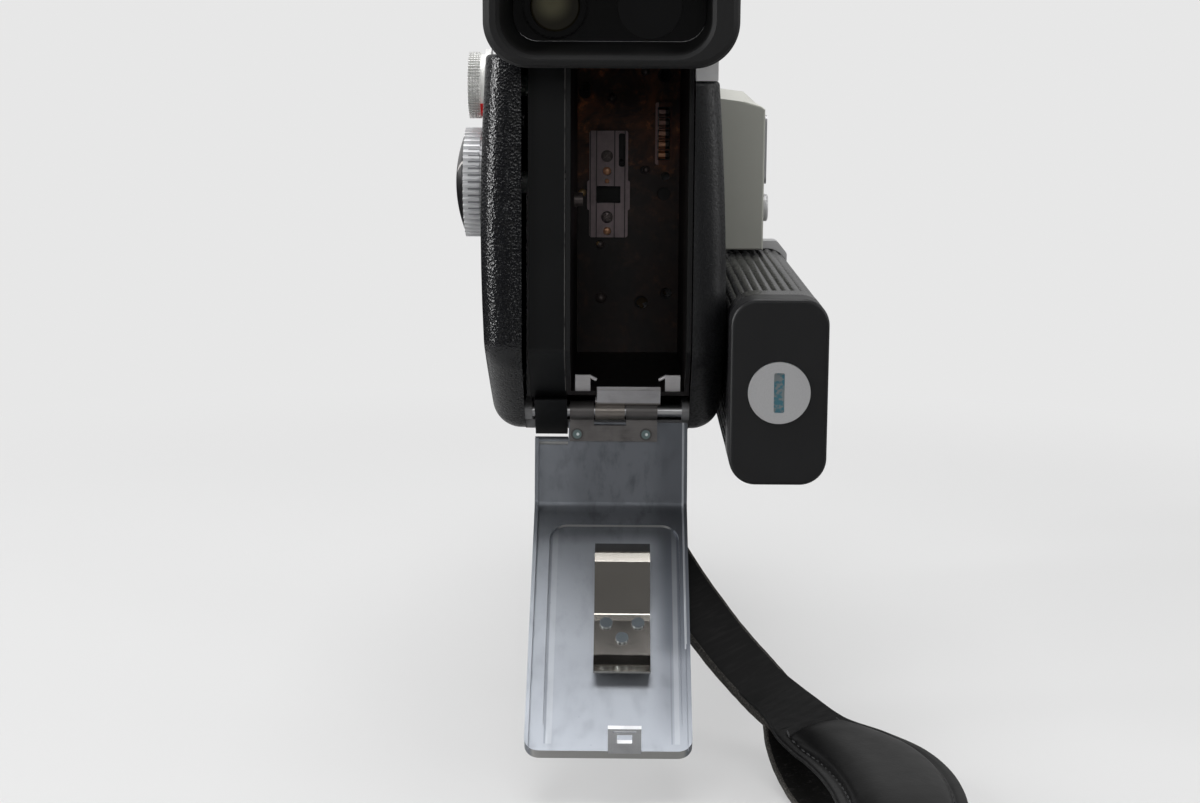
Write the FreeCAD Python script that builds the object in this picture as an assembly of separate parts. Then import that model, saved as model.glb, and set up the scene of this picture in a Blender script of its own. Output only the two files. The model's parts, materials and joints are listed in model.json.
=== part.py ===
import FreeCAD, Part
import math
import os

os.makedirs("parts", exist_ok=True)

# Millimetres. The lens looks along +Y, +Z is up, and the origin is the mouth of the tripod socket.

# Fits
run_gap = 0.3            # between pieces that move past each other
shaft_gap = 0.05         # radial, a shaft in its hole
hole_gap = 0.1           # radial, a fastener in its hole

# Body
body_length = 120.0
body_half_width = 25.65
tripod_from_rear = 45.0
base_thickness = 2.4
base_half_width = 22.0
base_rear = 9.0          # behind the tripod socket
shell_wall = 1.8
shell_round = 6.5
shell_top_round = 1.0
left_swell = 1.1         # the left side is fullest this far outside the half width
left_swell_rise = 45.6   # height of the fullest place above the underside of the shells
left_swell_radius = 500.0
right_swell_rise = 22.6
right_swell_radius = 700.0
left_shell_drop = 2.5    # top of the left shell below the frame's top
right_shell_drop = 7.7
opening_left = 17.8      # lens axis to the left edge of the rear opening
opening_right = 18.4
chamfer_rise = 18.6      # the lower rear corner is cut at 45 degrees
corner_round = 9.0
foot_round = 7.0
frame_wall = 2.0
front_plate_thickness = 1.5
front_plate_half_width = 18.0
front_plate_margin = 2.0

# Film chamber
chamber_left = 7.6
chamber_right = 17.2
chamber_rise = 9.5       # floor above the underside of the shells
chamber_height = 72.1
chamber_depth = 71.0
liner_wall = 1.0
gate_rise = 38.9         # lens axis above the chamber floor
bulkhead_gap = 10.0      # film plane wall to the mechanism bulkhead

# Gate
gate_thickness = 1.2
gate_half_width = 4.7
gate_above = 15.4
gate_below = 10.4
gate_band_half_width = 5.2
gate_band_above = 3.4
gate_band_below = 3.8
aperture_width = 5.8
aperture_height = 4.1
claw_slot_x = 3.2
claw_slot_width = 1.5
claw_slot_low = 6.7
claw_slot_high = 14.8
claw_stroke = 4.2

# Notch feelers
feeler_count = 5
feeler_pitch = 2.6
feeler_width = 2.6
feeler_x = 13.3
feeler_rise = 14.8       # middle of the row above the lens axis
feeler_reach = 1.2
feeler_travel = 1.0

# Door and hinge
door_left = 15.6
door_right = 18.1
door_skin = 1.0
door_rim = 0.8
door_rim_depth = 2.6
door_bend = 3.2
door_corner = 3.0
door_swing = 126.0
tray_margin_left = 3.6
tray_margin_right = 1.9
tray_low = 5.9
tray_high = 62.2
tray_round = 4.0
tray_step = 0.7
hinge_from_rear = 17.3
hinge_inset = 2.3        # hinge axis inside the door's outer face
rod_radius = 1.4
knuckle_radius = 2.1
leaf_sheet = 0.8
fixed_leaf_left = 1.9
fixed_leaf_right = 12.0
fixed_leaf_low = 2.2
fixed_leaf_high = 6.7
fixed_leaf_tilt = 0.7
fixed_leaf_thickness = 1.0
leaf_left = 7.9
leaf_right = 11.4
leaf_length = 6.9
notch_left = 2.6
notch_right = 4.5
notch_length = 3.4
leg_start = 2.7
block_leg_start = 6.2
block_left = 15.6
block_right = 8.5
block_foot_drop = 1.3    # the hinge block's foot below the shells
block_foot_length = 4.0

# Pressure clip and catch on the door
clip_x = 3.9
clip_width = 11.8
clip_sheet = 0.6
clip_low_end = 47.4
clip_crease = 30.4
clip_crest = 20.4
clip_tip = 14.0
clip_height = 5.0
rivet_radius = 0.9
rivet_head = 1.35
rivet_head_height = 0.5
catch_x = 4.5
catch_width = 6.6
catch_reach = 7.6        # the tongue beyond the door's rim
catch_sheet = 0.8
catch_foot = 2.6
catch_hole_width = 3.0
catch_hole_start = 2.7   # from the door's rim
catch_hole_length = 2.9
catch_slit_width = 4.6
catch_slit_start = 6.3
catch_slit_length = 0.6
latch_travel = 1.3
latch_thickness = 1.7
latch_pin_radius = 1.1
latch_tip_radius = 0.4
latch_bite = 0.3         # the pin's end below the tongue

# Top housing and finder
housing_half_width = 23.0
housing_height = 17.0
housing_wall = 1.5
housing_round = 4.0
housing_front_gap = 2.0
finder_x = -10.5
counter_x = 8.6
window_rise = 7.2        # windows above the housing's underside
window_radius = 6.5
bezel_depth = 7.0
bezel_round = 5.0
bezel_left = 19.0
bezel_right = 20.0
bezel_low = 0.3
bezel_high = 15.2
cup_lip_back = 25.0
cup_lip_left = 24.1
cup_lip_right = 26.0
cup_lip_low = -5.0       # the lip hangs below the housing's underside
cup_lip_high = 19.0
cup_base_left = 20.6
cup_base_right = 21.6
cup_start = 3.0          # the cup begins this far behind the housing
cup_base_low = -0.7
cup_base_high = 17.0
cup_mouth_left = 20.8
cup_mouth_right = 20.6
cup_mouth_low = -2.6
cup_mouth_high = 16.6
cup_corner_base = 6.5
cup_corner_lip = 9.0

# Lens
barrel_radius = 16.0
barrel_bore = 13.5
mount_radius = 22.0
mount_thickness = 3.5
zoom_radius = 20.5
zoom_length = 15.0
focus_radius = 22.0
focus_length = 19.0
front_ring_radius = 24.0
front_ring_length = 6.5
filter_radius = 22.5
filter_depth = 4.0
glass_dome = 46.0
glass_radius = 17.0

# Dials on the left side
dial_y = 0.0
lower_dial_radius = 12.5
lower_dial_length = 5.6
lower_base_length = 1.9
lower_base_radius = 11.7
lower_cap_radius = 10.9
lower_cap_height = 2.3
lower_cap_edge = 0.3
lower_dial_rise = 52.9   # above the underside of the shells
upper_dial_radius = 7.5
upper_dial_length = 5.1
upper_rim_radius = 8.2
upper_rim_length = 1.3
upper_neck_length = 1.1
upper_dial_rise = 75.0
spindle_radius = 2.5
spindle_inside = 6.0

# Side housing and its button
side_reach = 13.2
side_low = 33.6          # above the underside of the shells
side_high = 71.9
side_slope = 3.2
side_crown = 2.2         # the roof rises this much towards the front
side_crown_length = 16.0
side_from_front = 35.0
side_length = 34.0
plate_thickness = 0.6
plate_low = 16.5
plate_high = 33.5
button_radius = 3.45
button_rise = 10.1
button_from_rear = 8.0
button_proud = 1.5
button_travel = 1.0

# Battery grip
grip_width = 20.4
grip_height = 39.2
grip_corner = 5.6
grip_mid_rise = 13.2     # above the underside of the shells
cap_length = 7.5
collar_length = 7.2
rib_pitch = 2.0
rib_height = 0.45
pivot_ahead = 6.0        # swivel axis ahead of the ribs
pivot_from_front = 17.0
contact_room = 2.1
cell_gap = 0.1
pivot_radius = 6.0
pivot_reach = 8.0
cell_radius = 7.1
cell_length = 50.2
coin_radius = 6.5
coin_slot_width = 2.2
coin_slot_length = 8.4
cap_travel = 10.0
cap_face = 3.0

# Mechanism
gear_module = 0.7
shutter_teeth = 48
pinion_teeth = 12
roller_radius = 2.0
roller_reach = 8.0
disc_radius = 9.5
shutter_x = 2.0
shutter_drop = 12.8      # shutter shaft below the lens axis
shutter_radius = 16.8
motor_radius = 9.0
motor_room = 13.0        # from the motor's front end to the front of the body
spindle_y = -8.0

# Tripod socket, strap lug, trigger
socket_radius = 2.6
socket_length = 8.0
bush_radius = 5.5
lug_x = 6.0
lug_from_rear = 24.0
lug_drop = 4.2
lug_wire = 0.9
lug_side_gap = 0.4
trigger_x = 9.0
trigger_rise = 10.0
trigger_width = 8.0
trigger_height = 14.0
trigger_travel = 3.0

# Strap
strap_width = 11.6
strap_thickness = 1.6
strap_doubled = 3.2
pad_gap = 0.15
lug_width = strap_width + 2 * (lug_wire + lug_side_gap)

# Places that follow from the sizes above
root_half = math.sqrt(0.5)
rear_y = -tripod_from_rear
front_y = rear_y + body_length
body_bottom = base_thickness
chamfer_top = body_bottom + chamfer_rise
chamfer_sum = rear_y + chamfer_top      # y + z along the cut corner
chamber_floor = body_bottom + chamber_rise
chamber_ceiling = chamber_floor + chamber_height
frame_top = chamber_ceiling + liner_wall + frame_wall
left_top = frame_top - left_shell_drop
right_top = frame_top - right_shell_drop
gate_y = rear_y + chamber_depth
lens_z = chamber_floor + gate_rise
recess_depth = door_rim_depth + run_gap
recess_y = rear_y + recess_depth
hinge_y = rear_y + hinge_from_rear
hinge_z = chamfer_sum + hinge_inset / root_half - hinge_y
frame_foot_y = hinge_y + hinge_inset + run_gap + 0.1
lug_y = rear_y + lug_from_rear
lug_posts = (lug_x - lug_width / 2, lug_x + lug_width / 2)
fold_z = lug_wire - lug_drop
door_top = frame_top - run_gap
bulkhead_y = gate_y + bulkhead_gap
motor_length = front_y - motor_room - (bulkhead_y + frame_wall)
housing_top = frame_top + housing_height
window_z = frame_top + window_rise
lens_front = front_y + front_plate_thickness
grip_x0 = body_half_width + run_gap
grip_x1 = grip_x0 + grip_width
grip_mid_x = (grip_x0 + grip_x1) / 2
grip_mid_z = body_bottom + grip_mid_rise
pivot_y = front_y - pivot_from_front
head_y = pivot_y - pivot_ahead
cell_start = head_y - contact_room - 2 * cell_length - cell_gap
cap_y = cell_start - cap_face - 4 * cell_gap
collar_y = cap_y + cap_length
rib_y = collar_y + run_gap + collar_length


def vec(x, y, z):
    return FreeCAD.Vector(x, y, z)


def box(x0, x1, y0, y1, z0, z1):
    return Part.makeBox(x1 - x0, y1 - y0, z1 - z0, vec(x0, y0, z0))


def rod_x(radius, x0, x1, y, z):
    return Part.makeCylinder(radius, x1 - x0, vec(x0, y, z), vec(1, 0, 0))


def rod_y(radius, y0, y1, x, z):
    return Part.makeCylinder(radius, y1 - y0, vec(x, y0, z), vec(0, 1, 0))


def rod_z(radius, z0, z1, x, y):
    return Part.makeCylinder(radius, z1 - z0, vec(x, y, z0), vec(0, 0, 1))


def fuse(shapes):
    whole = shapes[0]
    for shape in shapes[1:]:
        whole = whole.fuse(shape)
    return whole.removeSplitter()


def cut(shape, tools):
    for tool in tools:
        shape = shape.cut(tool)
    return shape


def lift(axis, level, point):
    """Place a flat point in the plane that stands square to the axis."""
    if axis == "x":
        return vec(level, point[0], point[1])
    if axis == "y":
        return vec(point[0], level, point[1])
    return vec(point[0], point[1], level)


def outline(axis, level, points, radii):
    """A closed wire through the points, each corner rounded to its radius."""
    edges = []
    starts = []
    ends = []
    middles = []
    count = len(points)
    for index in range(count):
        here = FreeCAD.Vector(points[index][0], points[index][1], 0)
        before = FreeCAD.Vector(points[index - 1][0], points[index - 1][1], 0)
        after = FreeCAD.Vector(points[(index + 1) % count][0], points[(index + 1) % count][1], 0)
        radius = radii[index]
        if radius <= 0:
            starts.append(here)
            ends.append(here)
            middles.append(None)
            continue
        back = (before - here).normalize()
        ahead = (after - here).normalize()
        half = back.getAngle(ahead) / 2
        inward = (back + ahead).normalize()
        reach = radius / math.tan(half)
        starts.append(here + back * reach)
        ends.append(here + ahead * reach)
        middles.append(here + inward * (radius / math.sin(half) - radius))
    for index in range(count):
        if middles[index] is not None:
            arc = Part.Arc(
                lift(axis, level, starts[index]),
                lift(axis, level, middles[index]),
                lift(axis, level, ends[index]),
            )
            edges.append(arc.toShape())
        leave = lift(axis, level, ends[index])
        reach_next = lift(axis, level, starts[(index + 1) % count])
        if leave.distanceToPoint(reach_next) > 1e-6:
            edges.append(Part.LineSegment(leave, reach_next).toShape())
    return Part.Wire(edges)


def prism(axis, low, high, points, radii=None):
    """Extrude a rounded outline along an axis."""
    if radii is None:
        radii = [0] * len(points)
    if isinstance(radii, (int, float)):
        radii = [radii] * len(points)
    face = Part.Face(outline(axis, low, points, radii))
    along = {"x": vec(1, 0, 0), "y": vec(0, 1, 0), "z": vec(0, 0, 1)}[axis]
    return face.extrude(along * (high - low))


def plate(axis, low, high, u0, u1, v0, v1, radius=0):
    """A flat piece with a rounded rectangle for its outline."""
    return prism(axis, low, high, [(u0, v0), (u1, v0), (u1, v1), (u0, v1)], radius)


def loft(sections):
    """A solid with flat-sided stretches through its sections."""
    solid = Part.makeLoft(sections, True, True)
    if solid.Volume < 0:
        solid.reverse()
    return solid


def toothed(axis, low, high, u, v, root, tip, teeth, share, phase=0.0):
    """A disc with straight-sided teeth, used for gears and for knurled grips."""
    points = []
    step = 2 * math.pi / teeth
    for tooth in range(teeth):
        middle = phase + tooth * step
        for radius, offset in ((root, -share), (tip, -share * 0.55), (tip, share * 0.55), (root, share)):
            angle = middle + offset * step
            points.append((u + radius * math.cos(angle), v + radius * math.sin(angle)))
    return prism(axis, low, high, points)


def gear(axis, low, high, u, v, module, teeth, phase=0.0):
    """A spur gear whose thin teeth leave running room in mesh."""
    middle = module * teeth / 2
    return toothed(axis, low, high, u, v, middle - 1.2 * module, middle + 0.85 * module, teeth, 0.24, phase)


def save(name, shape):
    shape.exportStep("parts/" + name + ".step")


def side_profile(top, inset):
    """The body from the side: upright rear, cut lower corner, flat bottom, upright front."""
    rear = rear_y + inset
    slant = chamfer_sum + inset / root_half
    bottom = body_bottom + inset
    front = front_y - inset
    points = [(rear, top), (rear, slant - rear), (slant - bottom, bottom), (front, bottom), (front, top)]
    radii = [0, corner_round - inset, foot_round - inset, corner_round - inset, 0]
    return points, radii


def side_swell(side):
    """Where a side face is fullest: distance from the middle, height, and the radius of its curve."""
    if side < 0:
        return body_half_width + left_swell, body_bottom + left_swell_rise, left_swell_radius
    return body_half_width, body_bottom + right_swell_rise, right_swell_radius


def side_face(side, z):
    """Distance of a shell's outer face from the middle at one height."""
    full, level, radius = side_swell(side)
    return full - radius + math.sqrt(radius ** 2 - (z - level) ** 2)


def shell_block(side, near, top, inset):
    """One side of the body as a block with a swelled outer face and rounded edges."""
    points, radii = side_profile(top, inset)
    full, level, radius = side_swell(side)
    reach = side * (full + 1)
    low, high = sorted((side * near, reach))
    block = prism("x", low, high, points, radii)
    drum_start = vec(side * (full - radius), rear_y - 1, level)
    block = block.common(Part.makeCylinder(radius - inset, body_length + 2, drum_start, vec(0, 1, 0)))
    edges = []
    for edge in block.Edges:
        bound = edge.BoundBox
        outside = min(abs(bound.XMin), abs(bound.XMax)) > side_face(side, top) - inset - 0.5
        if outside and bound.ZMin < top - 1e-3:
            edges.append(edge)
    size = min(shell_round, 0.9 * (full - near)) - inset
    block = block.makeFillet(size, edges)
    if inset > 0:
        return block
    tops = []
    for edge in block.Edges:
        bound = edge.BoundBox
        outside = min(abs(bound.XMin), abs(bound.XMax)) > side_face(side, top) - 0.1
        if outside and bound.ZMin > top - 1e-3:
            tops.append(edge)
    return block.makeFillet(shell_top_round, tops)


def side_shell(side, opening, top, screw_places):
    """A thin cover over one side of the body, with a boss under each screw."""
    outer = shell_block(side, opening, top, 0.0)
    inner = shell_block(side, opening - 0.5, top - shell_wall, shell_wall)
    shell = outer.cut(inner)
    for y, z in screw_places:
        low, high = sorted((side * opening, side * (side_face(side, z) - shell_wall + 0.4)))
        shell = shell.fuse(rod_x(screw_boss, low, high, y, z))
    for y, z in screw_places:
        shell = shell.cut(screw_hole(side, opening, y, z))
    return shell


screw_boss = 2.8
screw_shank = 1.1
screw_head = 2.0
screw_head_height = 1.1
screw_sink = 0.3
screw_tip_x = 20.65
screw_length = body_half_width - screw_tip_x
slot_width = 0.6
screw_left = ((rear_y + 16.0, 71.0), (front_y - 12.0, 72.0), (front_y - 12.0, 14.0), (rear_y + 32.0, 12.0))
screw_right = ((rear_y + 16.0, 68.0), (rear_y + 62.0, 68.0), (rear_y + 62.0, 42.0))


def side_screw(side, y, z):
    """A countersunk side screw, its head just below the shell's face."""
    face = side_face(side, z) - screw_sink
    low, high = sorted((side * (face - screw_head_height), side * face))
    head = rod_x(screw_head, low, high, y, z)
    low, high = sorted((side * (face - screw_length), side * (face - screw_head_height)))
    shank = rod_x(screw_shank, low, high, y, z)
    low, high = sorted((side * (face - slot_width), side * (face + 1)))
    slot = box(low, high, y - screw_head, y + screw_head, z - slot_width / 2, z + slot_width / 2)
    return head.fuse(shank).cut(slot)


def screw_hole(side, opening, y, z):
    """The stepped hole that takes one side screw."""
    face = side_face(side, z) - screw_sink
    low, high = sorted((side * (face - screw_head_height), side * (face + 2)))
    wide = rod_x(screw_head + hole_gap, low, high, y, z)
    low, high = sorted((side * (face - screw_length - hole_gap), side * face))
    return wide.fuse(rod_x(screw_shank + hole_gap, low, high, y, z))


def make_shells():
    left = side_shell(-1, opening_left, left_top, screw_left)
    lower_z = body_bottom + lower_dial_rise
    upper_z = body_bottom + upper_dial_rise
    for z in (lower_z, upper_z):
        hole = rod_x(spindle_radius + shaft_gap, -body_half_width - 2, -opening_left, dial_y, z)
        left = left.cut(hole)
    save("left_shell", left)

    right = side_shell(1, opening_right, right_top, screw_right)
    hole = rod_x(pivot_radius + shaft_gap, opening_right, body_half_width + 1, pivot_y, grip_mid_z)
    save("right_shell", right.cut(hole))

    screws = [side_screw(-1, y, z) for y, z in screw_left]
    screws += [side_screw(1, y, z) for y, z in screw_right]
    screws += [base_screw(x, y) for x, y in base_screw_places]
    save("body_screws", Part.makeCompound(screws))


base_screw_places = ((-15.0, -3.0), (15.0, -3.0), (-15.0, front_y - 13.0), (15.0, front_y - 13.0))
base_screw_reach = 3.6


def base_screw(x, y):
    head = rod_z(screw_head, screw_sink, screw_sink + screw_head_height, x, y)
    shank = rod_z(screw_shank, screw_sink + screw_head_height, base_screw_reach, x, y)
    slot = box(x - screw_head, x + screw_head, y - slot_width / 2, y + slot_width / 2, 0, screw_sink + slot_width)
    return head.fuse(shank).cut(slot)


def base_screw_hole(x, y):
    wide = rod_z(screw_head + hole_gap, -1, screw_sink + screw_head_height, x, y)
    return wide.fuse(rod_z(screw_shank + hole_gap, 0, base_screw_reach + hole_gap, x, y))


bearing_y = -19.0
bearing_thickness = 3.0
transfer_offset = 15.6
transfer_x = shutter_x - transfer_offset
shutter_z = lens_z - shutter_drop
gear_centres = gear_module * (shutter_teeth + pinion_teeth) / 2
transfer_z = shutter_z + math.sqrt(gear_centres ** 2 - (shutter_x - transfer_x) ** 2)
pinion_z = shutter_z - gear_centres
shaft_radius = 1.0
spindle_z = transfer_z
gear_y0 = gate_y + 5.0
gear_y1 = gear_y0 + 2.5


def ear(x0, x1):
    """A bearing ear for one end of the hinge rod, carried by the frame's bottom."""
    front = frame_foot_y + 3.0
    high = hinge_z + knuckle_radius
    ring = rod_x(knuckle_radius, x0, x1, hinge_y, hinge_z)
    arm = box(x0, x1, hinge_y, front, hinge_z - knuckle_radius + 0.2, high)
    post = box(x0, x1, frame_foot_y + 0.2, front, body_bottom, high)
    bore = rod_x(rod_radius + shaft_gap, x0 - 1, x1 + 1, hinge_y, hinge_z)
    return ring.fuse(arm).fuse(post).cut(bore)


ear_left = (-opening_left, -opening_left + 1.6)
ear_right = (opening_right - 1.6, opening_right)


def make_frame():
    """The cast frame: bottom, front wall, top, mechanism bulkhead and the ears of the hinge."""
    x0 = -opening_left
    x1 = opening_right
    bottom_top = body_bottom + frame_wall
    front_inner = front_y - frame_wall
    points = [
        (recess_y, frame_top), (recess_y, frame_top - frame_wall),
        (front_inner, frame_top - frame_wall), (front_inner, bottom_top),
        (frame_foot_y, bottom_top), (frame_foot_y, body_bottom),
        (front_y, body_bottom), (front_y, frame_top),
    ]
    radii = [0, 0, 0, corner_round - frame_wall, 0, 0, corner_round, 0]
    frame = prism("x", x0, x1, points, radii)
    bulkhead = box(x0, x1, bulkhead_y, bulkhead_y + frame_wall, bottom_top - 0.2, frame_top - frame_wall + 0.2)
    post = box(-chamber_left, x1, gate_y - 6.0, gate_y - 2.0, bottom_top - 0.2, chamber_floor - liner_wall)
    bearing = box(x0, -chamber_left - liner_wall - 0.6, bearing_y - bearing_thickness, bearing_y,
                  bottom_top - 0.2, transfer_z + 4.0)
    frame = fuse([frame, bulkhead, post, bearing, ear(*ear_left), ear(*ear_right)])
    lens_hole = rod_y(barrel_radius + hole_gap, front_y - 3, front_y + 1, 0, lens_z)
    light_path = rod_y(barrel_radius - 4.0, bulkhead_y - 1, bulkhead_y + 3, 0, lens_z)
    holes = [lens_hole, light_path]
    for x, z in ((shutter_x, shutter_z), (shutter_x, pinion_z), (transfer_x, transfer_z)):
        holes.append(rod_y(shaft_radius + shaft_gap, bulkhead_y - 1, bulkhead_y + 3, x, z))
    holes.append(rod_y(shaft_radius + shaft_gap, bearing_y - 4, bearing_y + 1, transfer_x, transfer_z))
    holes.append(rod_z(bush_radius + hole_gap, 0, bottom_top + 1, 0, 0))
    holes.append(trigger_passage())
    holes.append(tongue_slot())
    holes.append(rod_z(latch_pin_radius + run_gap, frame_top - frame_wall - 0.1, frame_top + 1, catch_x, latch_pin_y))
    for x in lug_posts:
        holes.append(rod_z(lug_wire + shaft_gap, body_bottom - 1, bottom_top + 1, x, lug_y))
    for x, y in base_screw_places:
        holes.append(base_screw_hole(x, y))
    save("body_frame", cut(frame, holes))


rim_edge_y = rear_y + door_rim_depth
latch_pin_y = rim_edge_y + catch_hole_start + catch_hole_length / 2
latch_bar_z = frame_top + run_gap


def tongue_slot():
    """The slot in the frame's top that takes the tongue of the shut door."""
    half = catch_width / 2 + run_gap
    return box(catch_x - half, catch_x + half, recess_y - 1, rim_edge_y + catch_reach + 2 * run_gap,
               door_top - catch_sheet - 2 * run_gap, frame_top + 1)


def trigger_passage():
    """The square hole through the front that guides the trigger's stem."""
    half = trigger_width / 2 - 1.5 + run_gap
    middle = body_bottom + trigger_rise + trigger_height / 2
    rise = trigger_height / 2 - 3.0 + run_gap
    return box(trigger_x - half, trigger_x + half, front_y - 4, front_y + 4, middle - rise, middle + rise)


def make_trigger():
    middle = body_bottom + trigger_rise + trigger_height / 2
    pad_back = lens_front + trigger_travel + run_gap
    half = trigger_width / 2
    rise = trigger_height / 2
    pad = plate("y", pad_back, pad_back + 2.6, trigger_x - half, trigger_x + half, middle - rise, middle + rise, 2.5)
    finger = Part.makeCylinder(11.0, trigger_width + 2, vec(trigger_x - half - 1, pad_back + 12.6, middle), vec(1, 0, 0))
    pad = pad.cut(finger)
    stem = box(trigger_x - half + 1.5, trigger_x + half - 1.5, front_y - 8, pad_back + 0.5,
               middle - rise + 3.0, middle + rise - 3.0)
    save("trigger", fuse([pad, stem]))


def make_chamber():
    """The film chamber liner, its gate wall, and what is fixed to that wall."""
    outer = box(-chamber_left - liner_wall, chamber_right + liner_wall, recess_y, gate_y + liner_wall,
                chamber_floor - liner_wall, chamber_ceiling + liner_wall)
    inner = box(-chamber_left, chamber_right, recess_y - 1, gate_y, chamber_floor, chamber_ceiling)
    liner = outer.cut(inner)
    boss = rod_x(2.6, -chamber_left - liner_wall - 0.8, -chamber_left - 0.2, spindle_y, spindle_z)
    liner = liner.fuse(boss)
    slant = chamfer_sum + recess_depth / root_half
    low = chamber_floor - liner_wall - 1
    corner = prism("x", -chamber_left - 5, chamber_right + 5,
                   [(recess_y - 2, slant - recess_y + 2), (recess_y - 2, low), (slant - low, low)])
    aperture = plate("y", gate_y - 2, gate_y + 2, -aperture_width / 2, aperture_width / 2,
                     lens_z - aperture_height / 2, lens_z + aperture_height / 2)
    tools = [corner, aperture, claw_opening(), feeler_window(), fixed_leaf_sheet(hole_gap)]
    tools += [tab_upright(x0, hole_gap) for x0, side in clip_tabs]
    tools.append(rod_x(spindle_dog + shaft_gap, -chamber_left - liner_wall - 0.1, -chamber_left + 1, spindle_y, spindle_z))
    tools.append(rod_x(shaft_radius + shaft_gap, -chamber_left - 5, -chamber_left + 1, spindle_y, spindle_z))
    for x, rise, radius in wall_holes:
        tools.append(rod_y(radius, gate_y - 1, gate_y + 2, x, lens_z + rise))
    save("film_chamber", cut(liner, tools))

    band = plate("y", gate_y - gate_thickness, gate_y, -gate_band_half_width, gate_band_half_width,
                 lens_z - gate_band_below, lens_z + gate_band_above, 0.6)
    strip = plate("y", gate_y - gate_thickness, gate_y, -gate_half_width, gate_half_width,
                  lens_z - gate_below, lens_z + gate_above, 0.6)
    track = plate("y", gate_y - gate_thickness - 0.1, gate_y - gate_thickness + 0.3, -aperture_width / 2 - 0.6,
                  aperture_width / 2 - 2.0, lens_z - gate_below + 1, lens_z + gate_above - 1, 0.4)
    gate = cut(fuse([band, strip]), [track, aperture, claw_opening()])
    for x, rise in gate_screw_places:
        gate = gate.cut(rod_y(gate_screw_radius + hole_gap, gate_y - 3, gate_y - 0.4, x, lens_z + rise))
    save("gate_plate", gate)

    screws = []
    for x, rise in gate_screw_places:
        face = gate_y - gate_thickness
        head = rod_y(gate_screw_radius, face - 0.2, gate_y - 0.4, x, lens_z + rise)
        slot = box(x - gate_screw_radius, x + gate_screw_radius, face - 1, face + 0.2,
                   lens_z + rise - 0.2, lens_z + rise + 0.2)
        screws.append(head.cut(slot))
    for x, rise, radius in wall_screws:
        ball = Part.makeSphere(radius, vec(x, gate_y, lens_z + rise))
        screws.append(ball.common(box(x - 3, x + 3, gate_y - 3, gate_y, lens_z + rise - 3, lens_z + rise + 3)))
    save("chamber_screws", Part.makeCompound(screws))


gate_screw_radius = 0.85
gate_screw_places = ((-0.1, 9.4), (-0.1, 5.5), (-0.1, -5.6), (-0.1, -9.0))
wall_screws = ((0.7, 23.3, 1.0), (8.7, 29.6, 1.0), (9.1, 6.0, 0.9), (-2.0, -12.2, 1.1), (-1.7, -25.4, 1.3))
wall_holes = ((-5.6, 25.9, 1.1), (13.4, 28.8, 1.1), (13.8, 4.5, 1.0), (8.4, -26.6, 1.4), (14.5, -24.0, 1.1))
spindle_dog = 1.6


def claw_opening():
    return plate("y", gate_y - 3, gate_y + 3, claw_slot_x - claw_slot_width / 2, claw_slot_x + claw_slot_width / 2,
                 lens_z + claw_slot_low, lens_z + claw_slot_high, 0.5)


feeler_half_height = feeler_count * feeler_pitch / 2 + 1.0


def feeler_window():
    half = feeler_width / 2 + 0.5
    middle = lens_z + feeler_rise
    return box(feeler_x - half, feeler_x + half, gate_y - 1, gate_y + 2,
               middle - feeler_half_height + 1, middle + feeler_half_height - 1)


def make_feelers():
    """Spring fingers that read the cartridge's notch, and the comb that guides them."""
    middle = lens_z + feeler_rise
    half = feeler_width / 2 + 0.75
    comb = plate("y", gate_y - 1.0, gate_y, feeler_x - half, feeler_x + half,
                 middle - feeler_half_height, middle + feeler_half_height, 0.5)
    fingers = []
    first = middle - (feeler_count - 1) * feeler_pitch / 2
    height = feeler_pitch - 0.9
    for index in range(feeler_count):
        z = first + index * feeler_pitch
        comb = comb.cut(box(feeler_x - feeler_width / 2 - 0.2, feeler_x + feeler_width / 2 + 0.2, gate_y - 2, gate_y + 1,
                            z - height / 2 - 0.3, z + height / 2 + 0.3))
        finger = prism("x", feeler_x - feeler_width / 2 + 0.1, feeler_x + feeler_width / 2 - 0.1, [
            (gate_y - 1.0 - feeler_reach, z - height / 2 + 0.5), (gate_y - 1.0, z - height / 2),
            (gate_y + 0.8, z - height / 2), (gate_y + 0.8, z + height / 2),
            (gate_y - 1.0, z + height / 2), (gate_y - 1.0 - feeler_reach, z + height / 2 - 0.3)])
        fingers.append(finger)
    save("feeler_comb", comb)
    spine = box(feeler_x - feeler_width / 2 + 0.1, feeler_x + feeler_width / 2 - 0.1, gate_y + 0.8, gate_y + 1.1,
                first - height / 2, first + (feeler_count - 1) * feeler_pitch + height / 2)
    save("notch_feelers", fuse(fingers + [spine]))


def make_strip():
    """The black panel beside the chamber, upright and then slanted down to the hinge block."""
    x0 = -door_left - 0.9
    x1 = -chamber_left - liner_wall - 0.1
    sheet = 1.2
    slant = chamfer_sum + recess_depth / root_half
    kink = slant - recess_y
    foot_z = block_top + 0.2
    inner_slant = slant + sheet / root_half
    points = [(recess_y, frame_top - frame_wall), (recess_y, kink), (slant - foot_z, foot_z),
              (inner_slant - foot_z, foot_z), (recess_y + sheet, inner_slant - recess_y - sheet),
              (recess_y + sheet, frame_top - frame_wall)]
    save("side_strip", prism("x", x0, x1, points, [0, 2.0, 0, 0, 1.0, 0]))


block_front = bearing_y - bearing_thickness - run_gap
block_top = hinge_z + 3.2


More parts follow.
